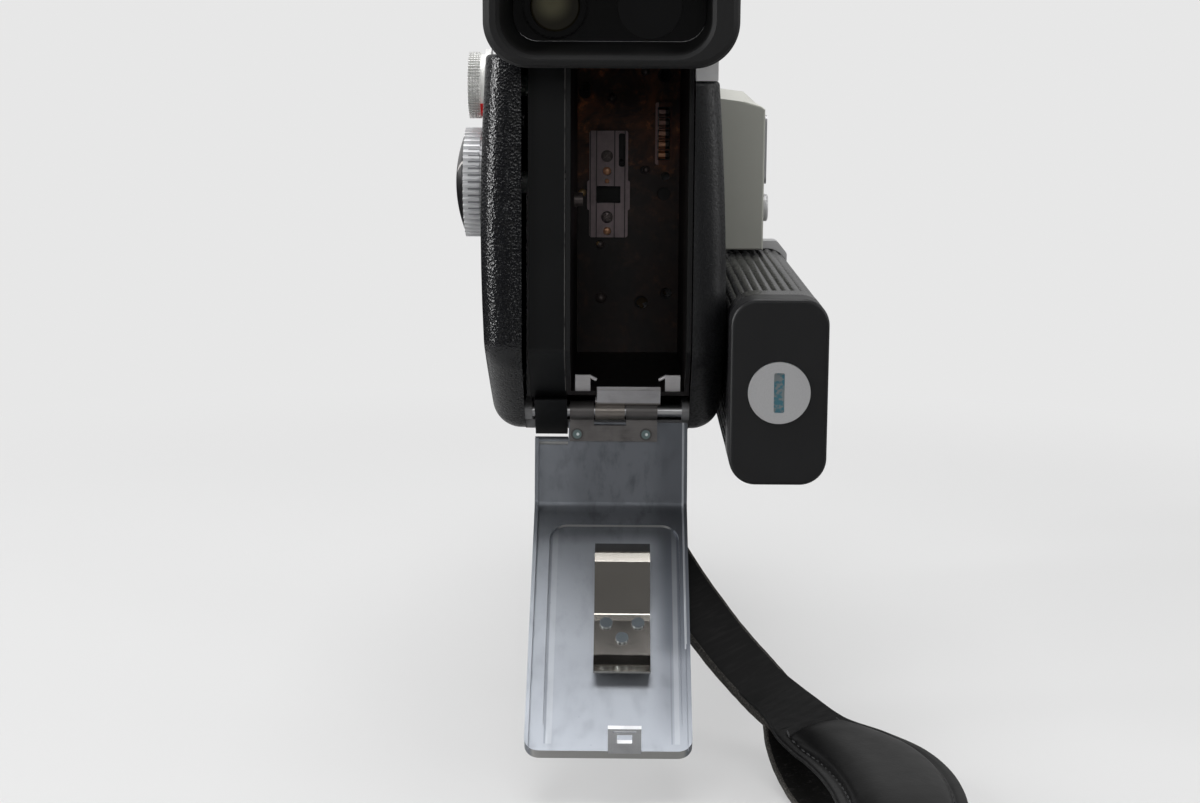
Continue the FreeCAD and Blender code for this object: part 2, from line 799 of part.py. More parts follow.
def make_hinge():
    """The rod, the black block that carries its left end, and the two hinge leaves."""
    rod = rod_x(rod_radius, ear_left[0] + 0.2, ear_right[1] - 0.1, hinge_y, hinge_z)
    save("hinge_rod", rod)

    slant_face = chamfer_sum
    foot_z = body_bottom - block_foot_drop
    foot_y = frame_foot_y + block_foot_length
    points = [(slant_face - foot_z, foot_z), (foot_y, foot_z), (foot_y, body_bottom), (frame_foot_y, body_bottom),
              (frame_foot_y, body_bottom + frame_wall), (block_front, body_bottom + frame_wall), (block_front, block_top), (slant_face - block_top + 1.6, block_top)]
    block = prism("x", -block_left, -block_right, points)
    reach = rod_x(block_leg_start - 2 * run_gap, -block_left, -block_right, hinge_y, hinge_z)
    guard = box(-block_left, -block_right, hinge_y, block_front, foot_z, block_top)
    block = block.common(fuse([reach, guard]))
    block = block.cut(rod_x(rod_radius + shaft_gap, -block_left - 1, -block_right + 1, hinge_y, hinge_z))
    save("hinge_block", block)

    knuckle = rod_x(knuckle_radius, -notch_left + run_gap, notch_right - run_gap, hinge_y, hinge_z)
    bore = rod_x(rod_radius + shaft_gap, -20, 20, hinge_y, hinge_z)
    save("fixed_hinge_leaf", fuse([fixed_leaf_sheet(0.0), knuckle]).cut(bore))


def fixed_leaf_sheet(extra):
    """The fixed leaf's sheet, or with extra room the pocket for it in the chamber's sill."""
    q0 = recess_depth - hinge_inset + 0.05 - extra
    q1 = q0 + fixed_leaf_thickness + 2 * extra
    low = fixed_leaf_low - extra
    high = fixed_leaf_high + extra
    points = [pq_point(low, q0 - fixed_leaf_tilt), pq_point(high, q0), pq_point(high, q1), pq_point(low, q1 - fixed_leaf_tilt)]
    sheet = prism("x", -fixed_leaf_left - extra, fixed_leaf_right + extra, points)
    web = pq_plate(notch_left - run_gap + extra, -notch_right + run_gap - extra, 0.0, fixed_leaf_low + 0.5, q0, q1)
    return sheet.fuse(web)


def pq_point(p, q):
    """Along the closed leg of the door and inwards from the hinge axis."""
    return (hinge_y + root_half * (q - p), hinge_z + root_half * (q + p))


def pq_plate(left, minus_right, p0, p1, q0, q1):
    points = [pq_point(p0, q0), pq_point(p1, q0), pq_point(p1, q1), pq_point(p0, q1)]
    return prism("x", -left, -minus_right, points)


def open_door(shape):
    """Swing a piece from the shut door to where the door hangs open."""
    shape = shape.copy()
    shape.rotate(vec(0, hinge_y, hinge_z), vec(1, 0, 0), door_swing)
    return shape


def door_profile(start, depth):
    """The door from the side when shut: leg, bend and panel."""
    foot = pq_point(start, -hinge_inset)
    foot_in = pq_point(start, -hinge_inset + depth)
    bend_in = chamfer_top + depth * (math.sqrt(2) - 1)
    points = [foot, (rear_y, chamfer_top), (rear_y, door_top), (rear_y + depth, door_top),
              (rear_y + depth, bend_in), foot_in]
    return points, [0, door_bend + depth, 0, 0, door_bend, 0]


def sheet_panel_z(along):
    """Height on the shut door of a place measured up its panel from the bend."""
    return chamfer_top + along


clip_rivets = ((-3.35, 2.7), (3.35, 2.7), (0.0, 6.6))
leaf_rivets = (-6.3, 8.9)
leaf_rivet_p = 5.3


def door_rivet_parts(extra):
    """Every rivet of the door, or with extra room the holes they pass through."""
    solids = []
    for x, along in clip_rivets:
        z = sheet_panel_z(clip_crease + along)
        face = rear_y + door_skin
        shank = rod_y(rivet_radius + extra, face - 0.8, face + clip_sheet, clip_x + x, z)
        solids.append(shank if extra else shank.fuse(rod_y(rivet_head, face + clip_sheet,
                      face + clip_sheet + rivet_head_height, clip_x + x, z)))
    for x in leaf_rivets:
        start = pq_point(leaf_rivet_p, -hinge_inset + 0.2)
        turn = vec(0, root_half, root_half)
        shank = Part.makeCylinder(rivet_radius + extra, door_skin + leaf_sheet - 0.2, vec(x, start[0], start[1]), turn)
        head_at = pq_point(leaf_rivet_p, -hinge_inset + door_skin + leaf_sheet)
        head = Part.makeCylinder(rivet_head, rivet_head_height, vec(x, head_at[0], head_at[1]), turn)
        solids.append(shank if extra else shank.fuse(head))
    return solids


def make_door():
    """The sheet door with its rims and tray, and what is riveted to it."""
    points, radii = door_profile(leg_start, door_skin)
    right = prism("x", -block_right + 0.3, door_right, points, radii)
    points, radii = door_profile(block_leg_start, door_skin)
    left = prism("x", -door_left, -block_right + 0.3, points, radii)
    roll_at = pq_point(block_leg_start + 0.6, -hinge_inset + 0.9)
    roll = rod_x(0.9, -door_left, -block_right + 0.2, roll_at[0], roll_at[1])
    points, radii = door_profile(block_leg_start, door_rim_depth)
    left_rim = prism("x", -door_left, -door_left + door_rim, points, radii)
    points, radii = door_profile(leg_start + 0.4, door_rim_depth)
    right_rim = prism("x", door_right - door_rim, door_right, points, radii)
    top_rim = box(-door_left, door_right, rear_y, rear_y + door_rim_depth, door_top - door_rim, door_top)
    face = rear_y + door_skin
    ledge = box(-door_left + 0.2, door_right - 0.2, face - 0.1, face + tray_step,
                sheet_panel_z(2.4), door_top - 0.2)
    tray = plate("y", face, face + 2, -door_left + tray_margin_left, door_right - tray_margin_right,
                 sheet_panel_z(tray_low), sheet_panel_z(tray_high), tray_round)
    door = fuse([right, left, roll, left_rim, right_rim, top_rim, ledge.cut(tray)])
    keep = plate("y", rear_y - 1, hinge_y + 8, -door_left, door_right, body_bottom - 3, door_top, 0)
    corners = prism("y", rear_y - 1, hinge_y + 8,
                    [(-door_left, body_bottom - 3), (door_right, body_bottom - 3), (door_right, door_top),
                     (-door_left, door_top)], [0, 0, door_corner, door_corner])
    notch_gap = hole_gap / 2
    notch = box(catch_x - catch_width / 2 - notch_gap, catch_x + catch_width / 2 + notch_gap, face + tray_step,
                rear_y + door_rim_depth + 1, door_top - 2 * door_rim, door_top + 1)
    door = cut(door, [keep.cut(corners), notch] + door_rivet_parts(hole_gap))
    save("film_door", open_door(door))

    bore = rod_x(rod_radius + shaft_gap, -20, 20, hinge_y, hinge_z)
    low = -hinge_inset + door_skin
    sheet = pq_plate(leaf_left, -leaf_right, 0.0, leaf_length, low, low + leaf_sheet)
    knuckle = rod_x(knuckle_radius, -leaf_left, leaf_right, hinge_y, hinge_z)
    under = pq_plate(leaf_left + 1, -leaf_right - 1, -4, 4, -6, -hinge_inset + 0.15)
    notch = rod_x(notch_length, -notch_left, notch_right, hinge_y, hinge_z)
    inside_door = pq_plate(leaf_left + 1, -leaf_right - 1, leg_start - 0.1, 9, -6, low)
    leaf = cut(fuse([sheet, knuckle]), [bore, notch, under, inside_door] + door_rivet_parts(hole_gap))
    save("door_hinge_plate", open_door(leaf))

    save("door_rivets", open_door(Part.makeCompound(door_rivet_parts(0))))
    save("door_clip", open_door(clip_solid()))
    save("catch_bracket", open_door(bracket_solid()))


def clip_solid():
    """A spring strip bent from its flat foot up to a crest that presses on the cartridge."""
    face = rear_y + door_skin
    line = ((clip_low_end, 2.6), (clip_low_end - 2.8, 0.8), (clip_low_end - 6.0, 0.0), (clip_crease, 0.0),
            (clip_crest, clip_height), (clip_crest - 2.6, clip_height + 0.3), (clip_tip, clip_height - 1.6))
    lower = [(face + height, sheet_panel_z(along)) for along, height in line]
    upper = [(y + clip_sheet, z) for y, z in reversed(lower)]
    radii = [0, 2.0, 2.0, 1.5, 1.6, 1.6, 0, 0, 1.2, 1.2, 1.5, 2.0, 2.0, 0]
    strip = prism("x", clip_x - clip_width / 2, clip_x + clip_width / 2, lower + upper, radii)
    return cut(strip, door_rivet_parts(hole_gap))


def bracket_solid():
    """The catch: a tongue in a notch of the door's rim, with a foot on the door's inner face."""
    seat = rear_y + door_skin + tray_step
    x0 = catch_x - catch_width / 2
    x1 = catch_x + catch_width / 2
    tongue = box(x0, x1, seat, rim_edge_y + catch_reach, door_top - catch_sheet, door_top)
    foot = box(x0, x1, seat, seat + catch_sheet, door_top - catch_foot, door_top)
    hole = box(catch_x - catch_hole_width / 2, catch_x + catch_hole_width / 2, rim_edge_y + catch_hole_start,
               rim_edge_y + catch_hole_start + catch_hole_length, door_top - 2 * catch_sheet, door_top + 1)
    slit = box(catch_x - catch_slit_width / 2, catch_x + catch_slit_width / 2, rim_edge_y + catch_slit_start,
               rim_edge_y + catch_slit_start + catch_slit_length, door_top - 2 * catch_sheet, door_top + 1)
    return cut(fuse([tongue, foot]), [hole, slit])


def make_latch():
    """A bar on the frame's top that lifts its pin out of the tongue of the shut door."""
    knob_x = housing_half_width + run_gap
    half = latch_pin_radius
    bar = box(catch_x - half, knob_x + 0.5, latch_pin_y - half, latch_pin_y + half, latch_bar_z, latch_bar_z + latch_thickness)
    tip_z = door_top - catch_sheet - latch_bite
    tip = Part.makeCone(latch_tip_radius, latch_pin_radius, door_top - tip_z, vec(catch_x, latch_pin_y, tip_z), vec(0, 0, 1))
    pin = fuse([tip, rod_z(latch_pin_radius, door_top, latch_bar_z + 0.2, catch_x, latch_pin_y)])
    knob = plate("x", knob_x, knob_x + 1.7, latch_pin_y - 3.5, latch_pin_y + 3.5, latch_bar_z - 1.0,
                 latch_bar_z + latch_thickness + 1.0, 0.8)
    save("door_latch", fuse([bar, pin, knob]))


clip_tabs = ((-chamber_left + 0.9, 1), (chamber_right - 4.2, -1))
tab_width = 3.3
tab_sheet = 0.8
tab_sink = 0.7           # below the chamber floor, in a notch of the sill
tab_height = 4.2
tab_y = chamfer_sum + recess_depth / root_half + tab_sheet - chamber_floor


def tab_upright(x0, extra):
    low = chamber_floor - tab_sink
    return box(x0 - extra, x0 + tab_width + extra, tab_y - extra, tab_y + tab_sheet + extra,
               low - extra, low + tab_height)


def make_chamber_clips():
    """Two bright tabs at the chamber's sill, each hooked inwards at its top."""
    tabs = []
    for x0, side in clip_tabs:
        foot = box(x0, x0 + tab_width, tab_y, tab_y + 4.0, chamber_floor, chamber_floor + 0.6)
        hook_x = x0 + tab_width / 2 + side * (tab_width / 2 - 0.3)
        hook_z = chamber_floor - tab_sink + tab_height - 0.2
        hook = Part.makeCylinder(0.4, 1.9, vec(hook_x, tab_y + tab_sheet / 2, hook_z), vec(side, 0, -0.55))
        tabs.append(fuse([tab_upright(x0, 0.0), foot, hook]))
    save("cartridge_clips", Part.makeCompound(tabs))


def make_top_housing():
    """The bright cover over the finder, with side skirts down to the two shells."""
    y0 = rear_y
    y1 = front_y + housing_front_gap
    half = housing_half_width
    body = plate("y", y0, y1, -half, half, frame_top, housing_top, 0)
    edges = [edge for edge in body.Edges if edge.BoundBox.ZMin > housing_top - 1e-3]
    edges += [edge for edge in body.Edges if edge.BoundBox.ZMax - edge.BoundBox.ZMin > housing_height - 1e-3]
    body = body.makeFillet(housing_round, edges)
    right = box(opening_right, half, y0, front_y, right_top, frame_top + housing_round)
    left = box(-half, -opening_left, y0, front_y, left_top, frame_top + housing_round)
    cover = fuse([body, right, left])
    wall = housing_wall
    inner = plate("y", y0 + wall, y1 - wall, -half + wall, half - wall, frame_top - 0.01, housing_top - wall, 2.0)
    below = box(-opening_left, opening_right, y0 + wall, y1 - wall, frame_top - 1, frame_top + 5)
    windows = [rod_y(window_radius - 0.8, y0 - 1, y0 + wall + 1, x, window_z) for x in (finder_x, counter_x)]
    front = plate("y", y1 - wall - 1, y1 + 1, finder_x - 8 - hole_gap, finder_x + 8 + hole_gap,
                  window_z - 5.5 - hole_gap, window_z + 5.5 + hole_gap, 1.5)
    knob_x = half - wall - 6
    slot = box(knob_x, half + 1, latch_pin_y - latch_pin_radius - run_gap, latch_pin_y + latch_pin_radius + run_gap,
               frame_top - 0.01, latch_bar_z + latch_thickness + latch_travel + run_gap)
    save("top_housing", cut(cover, [inner, below, front, slot] + windows))

    glass = plate("y", y1 - wall, y1 + 0.3, finder_x - 8, finder_x + 8, window_z - 5.5, window_z + 5.5, 1.4)
    save("finder_window", glass)

    bezel = plate("y", y0 - bezel_depth, y0, -bezel_left, bezel_right, frame_top + bezel_low, frame_top + bezel_high, bezel_round)
    for x in (finder_x, counter_x):
        bezel = bezel.cut(rod_y(window_radius + shaft_gap, y0 - bezel_depth - 1, y0 - 2.0, x, window_z))
        bezel = bezel.cut(rod_y(window_radius - 1.8, y0 - 3, y0 + 1, x, window_z))
    save("finder_bezel", bezel)

    ring = toothed("y", y0 - bezel_depth - 1.2, y0 - bezel_depth - 0.3, finder_x, window_z,
                   window_radius - 0.3, window_radius, 40, 0.24)
    neck = rod_y(window_radius, y0 - bezel_depth - 0.3, y0 - 2.0 - run_gap, finder_x, window_z)
    bore = rod_y(window_radius - 1.4, y0 - bezel_depth - 3, y0, finder_x, window_z)
    save("eyepiece_ring", fuse([ring, neck]).cut(bore))

    lens_r = window_radius - 1.4 - shaft_gap
    lens = rod_y(lens_r, y0 - bezel_depth + 0.6, y0 - 3.2, finder_x, window_z)
    dome = Part.makeSphere(14.0, vec(finder_x, y0 - bezel_depth + 13.6 + 0.2, window_z))
    save("eyepiece_lens", lens.common(dome))

    ring = rod_y(window_radius, y0 - bezel_depth + 0.4, y0 - 2.0, counter_x, window_z)
    step = rod_y(window_radius - 1.6, y0 - bezel_depth - 1, y0 - bezel_depth + 2.2, counter_x, window_z)
    save("counter_window", ring.cut(step))


def between(start, end, share):
    return tuple(a + (b - a) * share for a, b in zip(start, end))


def cup_section(y, sizes, tuck, radius):
    left, right, low, high = sizes
    x0 = -left + tuck
    x1 = right - tuck
    z0 = frame_top + low + tuck
    z1 = frame_top + high - tuck
    return outline("y", y, [(x0, z0), (x1, z0), (x1, z1), (x0, z1)], [radius - tuck] * 4)


def make_eyecup():
    """A flared rubber cup: a collar round the finder's bezel that opens to a wide soft lip."""
    start = rear_y - cup_start
    lip = rear_y - cup_lip_back
    face = rear_y - bezel_depth
    base = (cup_base_left, cup_base_right, cup_base_low, cup_base_high)
    rim = (cup_lip_left, cup_lip_right, cup_lip_low, cup_lip_high)
    round_base = cup_corner_base
    round_grow = cup_corner_lip - cup_corner_base
    outer = []
    for y, flare, tuck in ((start, 0.0, 0.0), (start - 3.0, 0.2, 0.0), (start - 12.0, 0.75, 0.0),
                           (lip + 2.2, 1.0, 0.0), (lip + 0.6, 1.0, 0.5), (lip, 1.0, 1.4)):
        outer.append(cup_section(y, between(base, rim, flare), tuck, round_base + round_grow * flare))
    seat = (bezel_left + hole_gap, bezel_right + hole_gap, bezel_low - hole_gap, bezel_high + hole_gap)
    mouth = (cup_mouth_left, cup_mouth_right, cup_mouth_low, cup_mouth_high)
    hollow = []
    for y, flare, tuck in ((face + 0.5, 0.0, 0.0), (lip + 1.2, 1.0, 0.0), (lip - 0.5, 1.0, -1.0)):
        hollow.append(cup_section(y, between(seat, mouth, flare), tuck, bezel_round + 2.0 * flare))
    socket = plate("y", face, start + 1, -seat[0], seat[1], frame_top + seat[2], frame_top + seat[3], bezel_round)
    save("eyecup", cut(loft(outer), [loft(hollow), socket]))


def make_front_and_lens():
    margin = front_plate_margin
    front = plate("y", front_y, lens_front, -front_plate_half_width, front_plate_half_width,
                  body_bottom + margin, frame_top - margin, 3.0)
    front = cut(front, [rod_y(barrel_radius + hole_gap, front_y - 1, lens_front + 1, 0, lens_z), trigger_passage()])
    save("front_plate", front)

    mount_front = lens_front + mount_thickness
    mount = rod_y(mount_radius, lens_front, mount_front, 0, lens_z)
    save("lens_mount", mount.cut(rod_y(barrel_radius + shaft_gap, lens_front - 1, mount_front + 1, 0, lens_z)))

    zoom_y = mount_front + run_gap
    focus_y = zoom_y + zoom_length + run_gap
    ring_y = focus_y + focus_length
    barrel_end = ring_y - 4.0
    barrel = rod_y(barrel_radius, front_y - 14.0, barrel_end, 0, lens_z)
    bore = rod_y(barrel_bore, front_y - 12.0, barrel_end + 1, 0, lens_z)
    stop = rod_y(6.0, front_y - 15.0, front_y, 0, lens_z)
    save("lens_barrel", cut(barrel, [bore, stop]))

    zoom = toothed("y", zoom_y, zoom_y + zoom_length, 0, lens_z, zoom_radius - 0.6, zoom_radius, 64, 0.26)
    lever = plate("y", zoom_y + 5.0, zoom_y + 9.5, -1.8, 1.8, lens_z + zoom_radius - 1.5, lens_z + zoom_radius + 7.0, 1.2)
    zoom = fuse([zoom, lever]).cut(rod_y(barrel_radius + shaft_gap, zoom_y - 1, zoom_y + zoom_length + 1, 0, lens_z))
    save("zoom_ring", zoom)

    grip = toothed("y", focus_y, focus_y + focus_length * 0.7, 0, lens_z, focus_radius - 0.6, focus_radius, 72, 0.26)
    skirt = rod_y(focus_radius - 0.6, focus_y + focus_length * 0.7, ring_y + 0.1, 0, lens_z)
    front_ring = rod_y(front_ring_radius, ring_y, ring_y + front_ring_length, 0, lens_z)
    focus = fuse([grip, skirt, front_ring])
    slide = rod_y(barrel_radius + shaft_gap, focus_y - 1, barrel_end + run_gap, 0, lens_z)
    seat = rod_y(glass_radius + shaft_gap, barrel_end + run_gap + 1.2, ring_y + 9, 0, lens_z)
    mouth = rod_y(glass_radius - 1.2, focus_y, ring_y + 9, 0, lens_z)
    thread = rod_y(filter_radius, ring_y + front_ring_length - filter_depth, ring_y + 9, 0, lens_z)
    save("focus_ring", cut(focus, [slide, seat, mouth, thread]))

    glass = rod_y(glass_radius, barrel_end + run_gap + 1.2, ring_y + 1.6, 0, lens_z)
    dome = Part.makeSphere(glass_dome, vec(0, ring_y + 1.4 - glass_dome, lens_z))
    save("front_glass", glass.common(dome))
    return zoom_y, focus_y, ring_y


def dial_face(z, radius):
    """Where a dial's inner face stands clear of the swelled side."""
    return -max(side_face(-1, z - radius), side_face(-1, z), side_face(-1, z + radius)) - run_gap


def make_dials():
    """The two dials on the left side, each with its spindle through the shell."""
    inner_end = -body_half_width + shell_wall + spindle_inside
    lower_z = body_bottom + lower_dial_rise
    upper_z = body_bottom + upper_dial_rise

    face = dial_face(lower_z, lower_base_radius)
    outer = face - lower_dial_length
    ribbed = toothed("x", outer, face - lower_base_length, dial_y, lower_z,
                     lower_dial_radius - 0.7, lower_dial_radius, 48, 0.27)
    flange = rod_x(lower_base_radius, face - lower_base_length - 0.1, face, dial_y, lower_z)
    spindle = rod_x(spindle_radius, face - 1.0, inner_end, dial_y, lower_z)
    save("lower_dial", fuse([ribbed, flange, spindle]))
    dome_height = lower_cap_height - lower_cap_edge
    dome_radius = (lower_cap_radius ** 2 + dome_height ** 2) / (2 * dome_height)
    dome = Part.makeSphere(dome_radius, vec(outer - lower_cap_height + dome_radius, dial_y, lower_z))
    disc = rod_x(lower_cap_radius, outer - lower_cap_height, outer, dial_y, lower_z)
    save("lower_dial_cap", disc.common(dome))

    face = dial_face(upper_z, upper_rim_radius)
    knurl_end = face - upper_rim_length - upper_neck_length
    knurl = toothed("x", face - upper_dial_length, knurl_end, dial_y, upper_z,
                    upper_dial_radius - 0.35, upper_dial_radius, 60, 0.26)
    neck = rod_x(upper_dial_radius - 0.5, knurl_end - 0.1, face, dial_y, upper_z)
    rim = rod_x(upper_rim_radius, face - upper_rim_length, face, dial_y, upper_z)
    spindle = rod_x(spindle_radius, face - 1.0, inner_end, dial_y, upper_z)
    save("upper_dial", fuse([knurl, neck, rim, spindle]))


side_y0 = front_y - side_from_front
side_x1 = body_half_width + side_reach
side_z0 = body_bottom + side_low
button_y = side_y0 + button_from_rear
button_z = side_z0 + button_rise


def housing_outline(y, lift_inner, lift_middle):
    """The side housing's outline at one depth, its roof raised by so much."""
    x0 = body_half_width - 3.0
    z1 = body_bottom + side_high
    points = [(x0, side_z0), (side_x1, side_z0), (side_x1, z1 - side_slope), (side_x1 - 1.0, z1 - side_slope + 0.8),
              (side_x1 - 4.5, z1 - 0.45 * side_slope + lift_middle), (x0, z1 + lift_inner)]
    return outline("y", y, points, [0] * len(points))


def make_side_housing():
    """The painted box on the right side, with its crowned roof, side plate and button."""
    crown_y = side_y0 + side_crown_length
    end_y = side_y0 + side_length
    body = loft([housing_outline(side_y0, 0.0, 0.0), housing_outline(crown_y, side_crown, side_crown),
                 housing_outline(end_y, side_crown, side_crown)])
    rim = [edge for edge in body.Edges if edge.BoundBox.YMax < side_y0 + 1e-3 and edge.BoundBox.XMax > side_x1 - 1.5]
    body = body.makeFillet(0.5, rim)
    z1 = body_bottom + side_high + side_crown
    front_cut = prism("x", body_half_width - 4, side_x1 + 1, [
        (end_y + 1, z1 + 1), (end_y + 1, z1 - 16), (end_y - 11, z1 + 1)])
    well = rod_x(button_radius + run_gap, side_x1 - 5.0, side_x1 + 1, button_y, button_z)
    shell_side = shell_block(1, opening_right, right_top, 0.0)
    save("side_housing", cut(body, [shell_side, front_cut, well]))

    nameplate = plate("x", side_x1, side_x1 + plate_thickness, side_y0 + 1.2, side_y0 + side_length - 9,
                      side_z0 + plate_low, side_z0 + plate_high, 1.5)
    save("side_plate", nameplate)

    stem = rod_x(button_radius, side_x1 - 5.0 + button_travel + run_gap, side_x1 + button_proud, button_y, button_z)
    edges = [edge for edge in stem.Edges if edge.BoundBox.XMin > side_x1 + button_proud - 1e-3]
    save("side_button", stem.makeFillet(0.5, edges))


def fluted_outline(y, width, height, corner, pitch, rise):
    """A rounded rectangle around the grip whose whole edge is scalloped into ribs."""
    half_w = width / 2
    half_h = height / 2
    straight_w = width - 2 * corner
    straight_h = height - 2 * corner
    turn = math.pi * corner / 2
    total = 2 * (straight_w + straight_h) + 4 * turn
    count = int(round(total / pitch))

    def place(distance, offset):
        distance = distance % total
        legs = ((straight_w, (-half_w + corner, -half_h), (1, 0)), (straight_h, (half_w, -half_h + corner), (0, 1)),
                (straight_w, (half_w - corner, half_h), (-1, 0)), (straight_h, (-half_w, half_h - corner), (0, -1)))
        for length, start, along in legs:
            normal = (along[1], -along[0])
            if distance <= length:
                return (start[0] + along[0] * distance + normal[0] * offset,
                        start[1] + along[1] * distance + normal[1] * offset)
            distance -= length
            if distance <= turn:
                centre = (start[0] + along[0] * length - normal[0] * corner,
                          start[1] + along[1] * length - normal[1] * corner)
                angle = math.atan2(normal[1], normal[0]) + distance / corner
                return (centre[0] + (corner + offset) * math.cos(angle), centre[1] + (corner + offset) * math.sin(angle))
            distance -= turn
        return (-half_w + corner, -half_h - offset)

    edges = []
    step = total / count
    for index in range(count):
        points = [place(index * step, 0.0), place((index + 0.5) * step, rise), place((index + 1) * step, 0.0)]
        where = [vec(grip_mid_x + u, y, grip_mid_z + v) for u, v in points]
        edges.append(Part.Arc(*where).toShape())
    return Part.Wire(edges)


def grip_plate(y0, y1, inset, radius):
    return plate("y", y0, y1, grip_x0 + inset, grip_x1 - inset, grip_mid_z - grip_height / 2 + inset,
                 grip_mid_z + grip_height / 2 - inset, radius)


def battery_bay(y0, y1):
    half = cell_radius + 0.4
    return plate("y", y0, y1, grip_mid_x - half, grip_mid_x + half, grip_mid_z - 2 * cell_radius - 0.5,
                 grip_mid_z + 2 * cell_radius + 0.5, half - 0.2)


lock_width = 6.6
lock_length = 6.0
lock_proud = 1.9
lock_travel = 1.0


def lock_block(extra, top):
    """The grip's lock button, or with extra room its well in the shoulder of the grip's head."""
    x1 = grip_x1 - 0.3 + extra
    x0 = grip_x1 - 0.3 - lock_width - extra
    low = grip_mid_z + grip_height / 2 - 5.0
    points = [(x0, low), (x1, low), (x1, top - 3.2), (x1 - 2.6, top), (x0, top)]
    radii = [0, 0, 1.6, 1.6, 0.5] if extra == 0 else [0] * 5
    return prism("y", head_y + 1.6 - extra, head_y + 1.6 + lock_length + extra, points, radii)


def make_grip():
    """The battery handle that swings on a short pivot at its front end."""
    inside = side_face(1, grip_mid_z - pivot_radius - 1.2) - shell_wall - 0.1
    pivot = rod_x(pivot_radius, inside - 1.8, body_half_width + pivot_reach, pivot_y, grip_mid_z)
    flange = rod_x(pivot_radius + 1.2, inside - 1.8, inside, pivot_y, grip_mid_z)
    save("grip_pivot", fuse([pivot, flange]))

    radius = grip_height / 2
    head = fuse([rod_x(radius, grip_x0, grip_x1, pivot_y, grip_mid_z),
                 box(grip_x0, grip_x1, head_y, pivot_y, grip_mid_z - radius, grip_mid_z + radius)])
    head = head.common(grip_plate(head_y, pivot_y + radius + 1, 0, grip_corner))
    bore = rod_x(pivot_radius + shaft_gap, grip_x0 - 1, body_half_width + pivot_reach + run_gap, pivot_y, grip_mid_z)
    lock = lock_block(0, grip_mid_z + radius + lock_proud)
    well = lock_block(run_gap, grip_mid_z + radius + 9)
    drop = vec(0, 0, -lock_travel - run_gap)
    sunk = well.copy()
    sunk.translate(drop)
    save("grip_head", cut(head, [bore, well, sunk]))
    save("grip_lock_button", lock)

    ribs = Part.Face(fluted_outline(rib_y, grip_width - 2 * rib_height, grip_height - 2 * rib_height,
                                    grip_corner - rib_height, rib_pitch, rib_height - 0.05)).extrude(vec(0, head_y - rib_y, 0))
    collar = grip_plate(collar_y + run_gap, rib_y, 0, grip_corner)
    bay = battery_bay(collar_y, head_y + 1)
    save("grip_shell", ribs.fuse(collar).cut(bay))

    cap = grip_plate(cap_y, collar_y, 0, grip_corner)
    rim = [edge for edge in cap.Edges if edge.BoundBox.YMax < cap_y + 1e-3]
    cap = cap.makeFillet(0.8, rim)
    recess = rod_y(coin_radius + 0.1, cap_y - 1, cap_y + 1.5, grip_mid_x, grip_mid_z)
    stem_hole = rod_y(2.0 + shaft_gap, cap_y, cap_y + cap_face + 1, grip_mid_x, grip_mid_z)
    save("battery_cap", cut(cap, [recess, stem_hole, battery_bay(cap_y + cap_face, collar_y + 1)]))

    disc = rod_y(coin_radius, cap_y - 0.2, cap_y + 1.4, grip_mid_x, grip_mid_z)
    stem = rod_y(2.0, cap_y + 1.4, cap_y + cap_face - 0.2, grip_mid_x, grip_mid_z)
    slot = plate("y", cap_y - 1, cap_y + 0.8, grip_mid_x - coin_slot_width / 2, grip_mid_x + coin_slot_width / 2,
                 grip_mid_z - coin_slot_length / 2, grip_mid_z + coin_slot_length / 2, 0.4)
    save("coin_lock", fuse([disc, stem]).cut(slot))

    cells = []
    for row in range(2):
        for side in (-1, 1):
            y = cell_start + row * (cell_length + cell_gap)
            z = grip_mid_z + side * (cell_radius + cell_gap)
            can = rod_y(cell_radius, y + 1.2, y + cell_length, grip_mid_x, z)
            cells.append(can.fuse(rod_y(2.6, y, y + 1.3, grip_mid_x, z)))
    save("battery_cells", Part.makeCompound(cells))

    last = cell_start + 2 * cell_length + cell_gap
    half = cell_radius - 2.1
    contact = plate("y", last + cell_gap / 2, head_y, grip_mid_x - half, grip_mid_x + half,
                    grip_mid_z - cell_radius - half, grip_mid_z + cell_radius + half, 3.0)
    save("battery_contacts", contact)


def make_base():
    base = plate("z", 0, base_thickness, -base_half_width, base_half_width, -base_rear, front_y - 5.0, 5.0)
    holes = [rod_z(bush_radius + hole_gap, -1, base_thickness + 1, 0, 0)]
    holes += [base_screw_hole(x, y) for x, y in base_screw_places]
    save("base_plate", cut(base, holes))

    bush = rod_z(bush_radius, 0, socket_length + 1.2, 0, 0)
    bush = bush.fuse(rod_z(bush_radius + 2.0, body_bottom + frame_wall, body_bottom + frame_wall + 1.2, 0, 0))
    bore = rod_z(socket_radius, -1, socket_length, 0, 0)
    save("tripod_bush", bush.cut(bore))

    bow = [rod_x(lug_wire, lug_posts[0], lug_posts[1], lug_y, fold_z)]
    for x in lug_posts:
        bow.append(rod_z(lug_wire, fold_z, body_bottom + frame_wall, x, lug_y))
        bow.append(Part.makeSphere(lug_wire, vec(x, lug_y, fold_z)))
    save("strap_lug", fuse(bow))


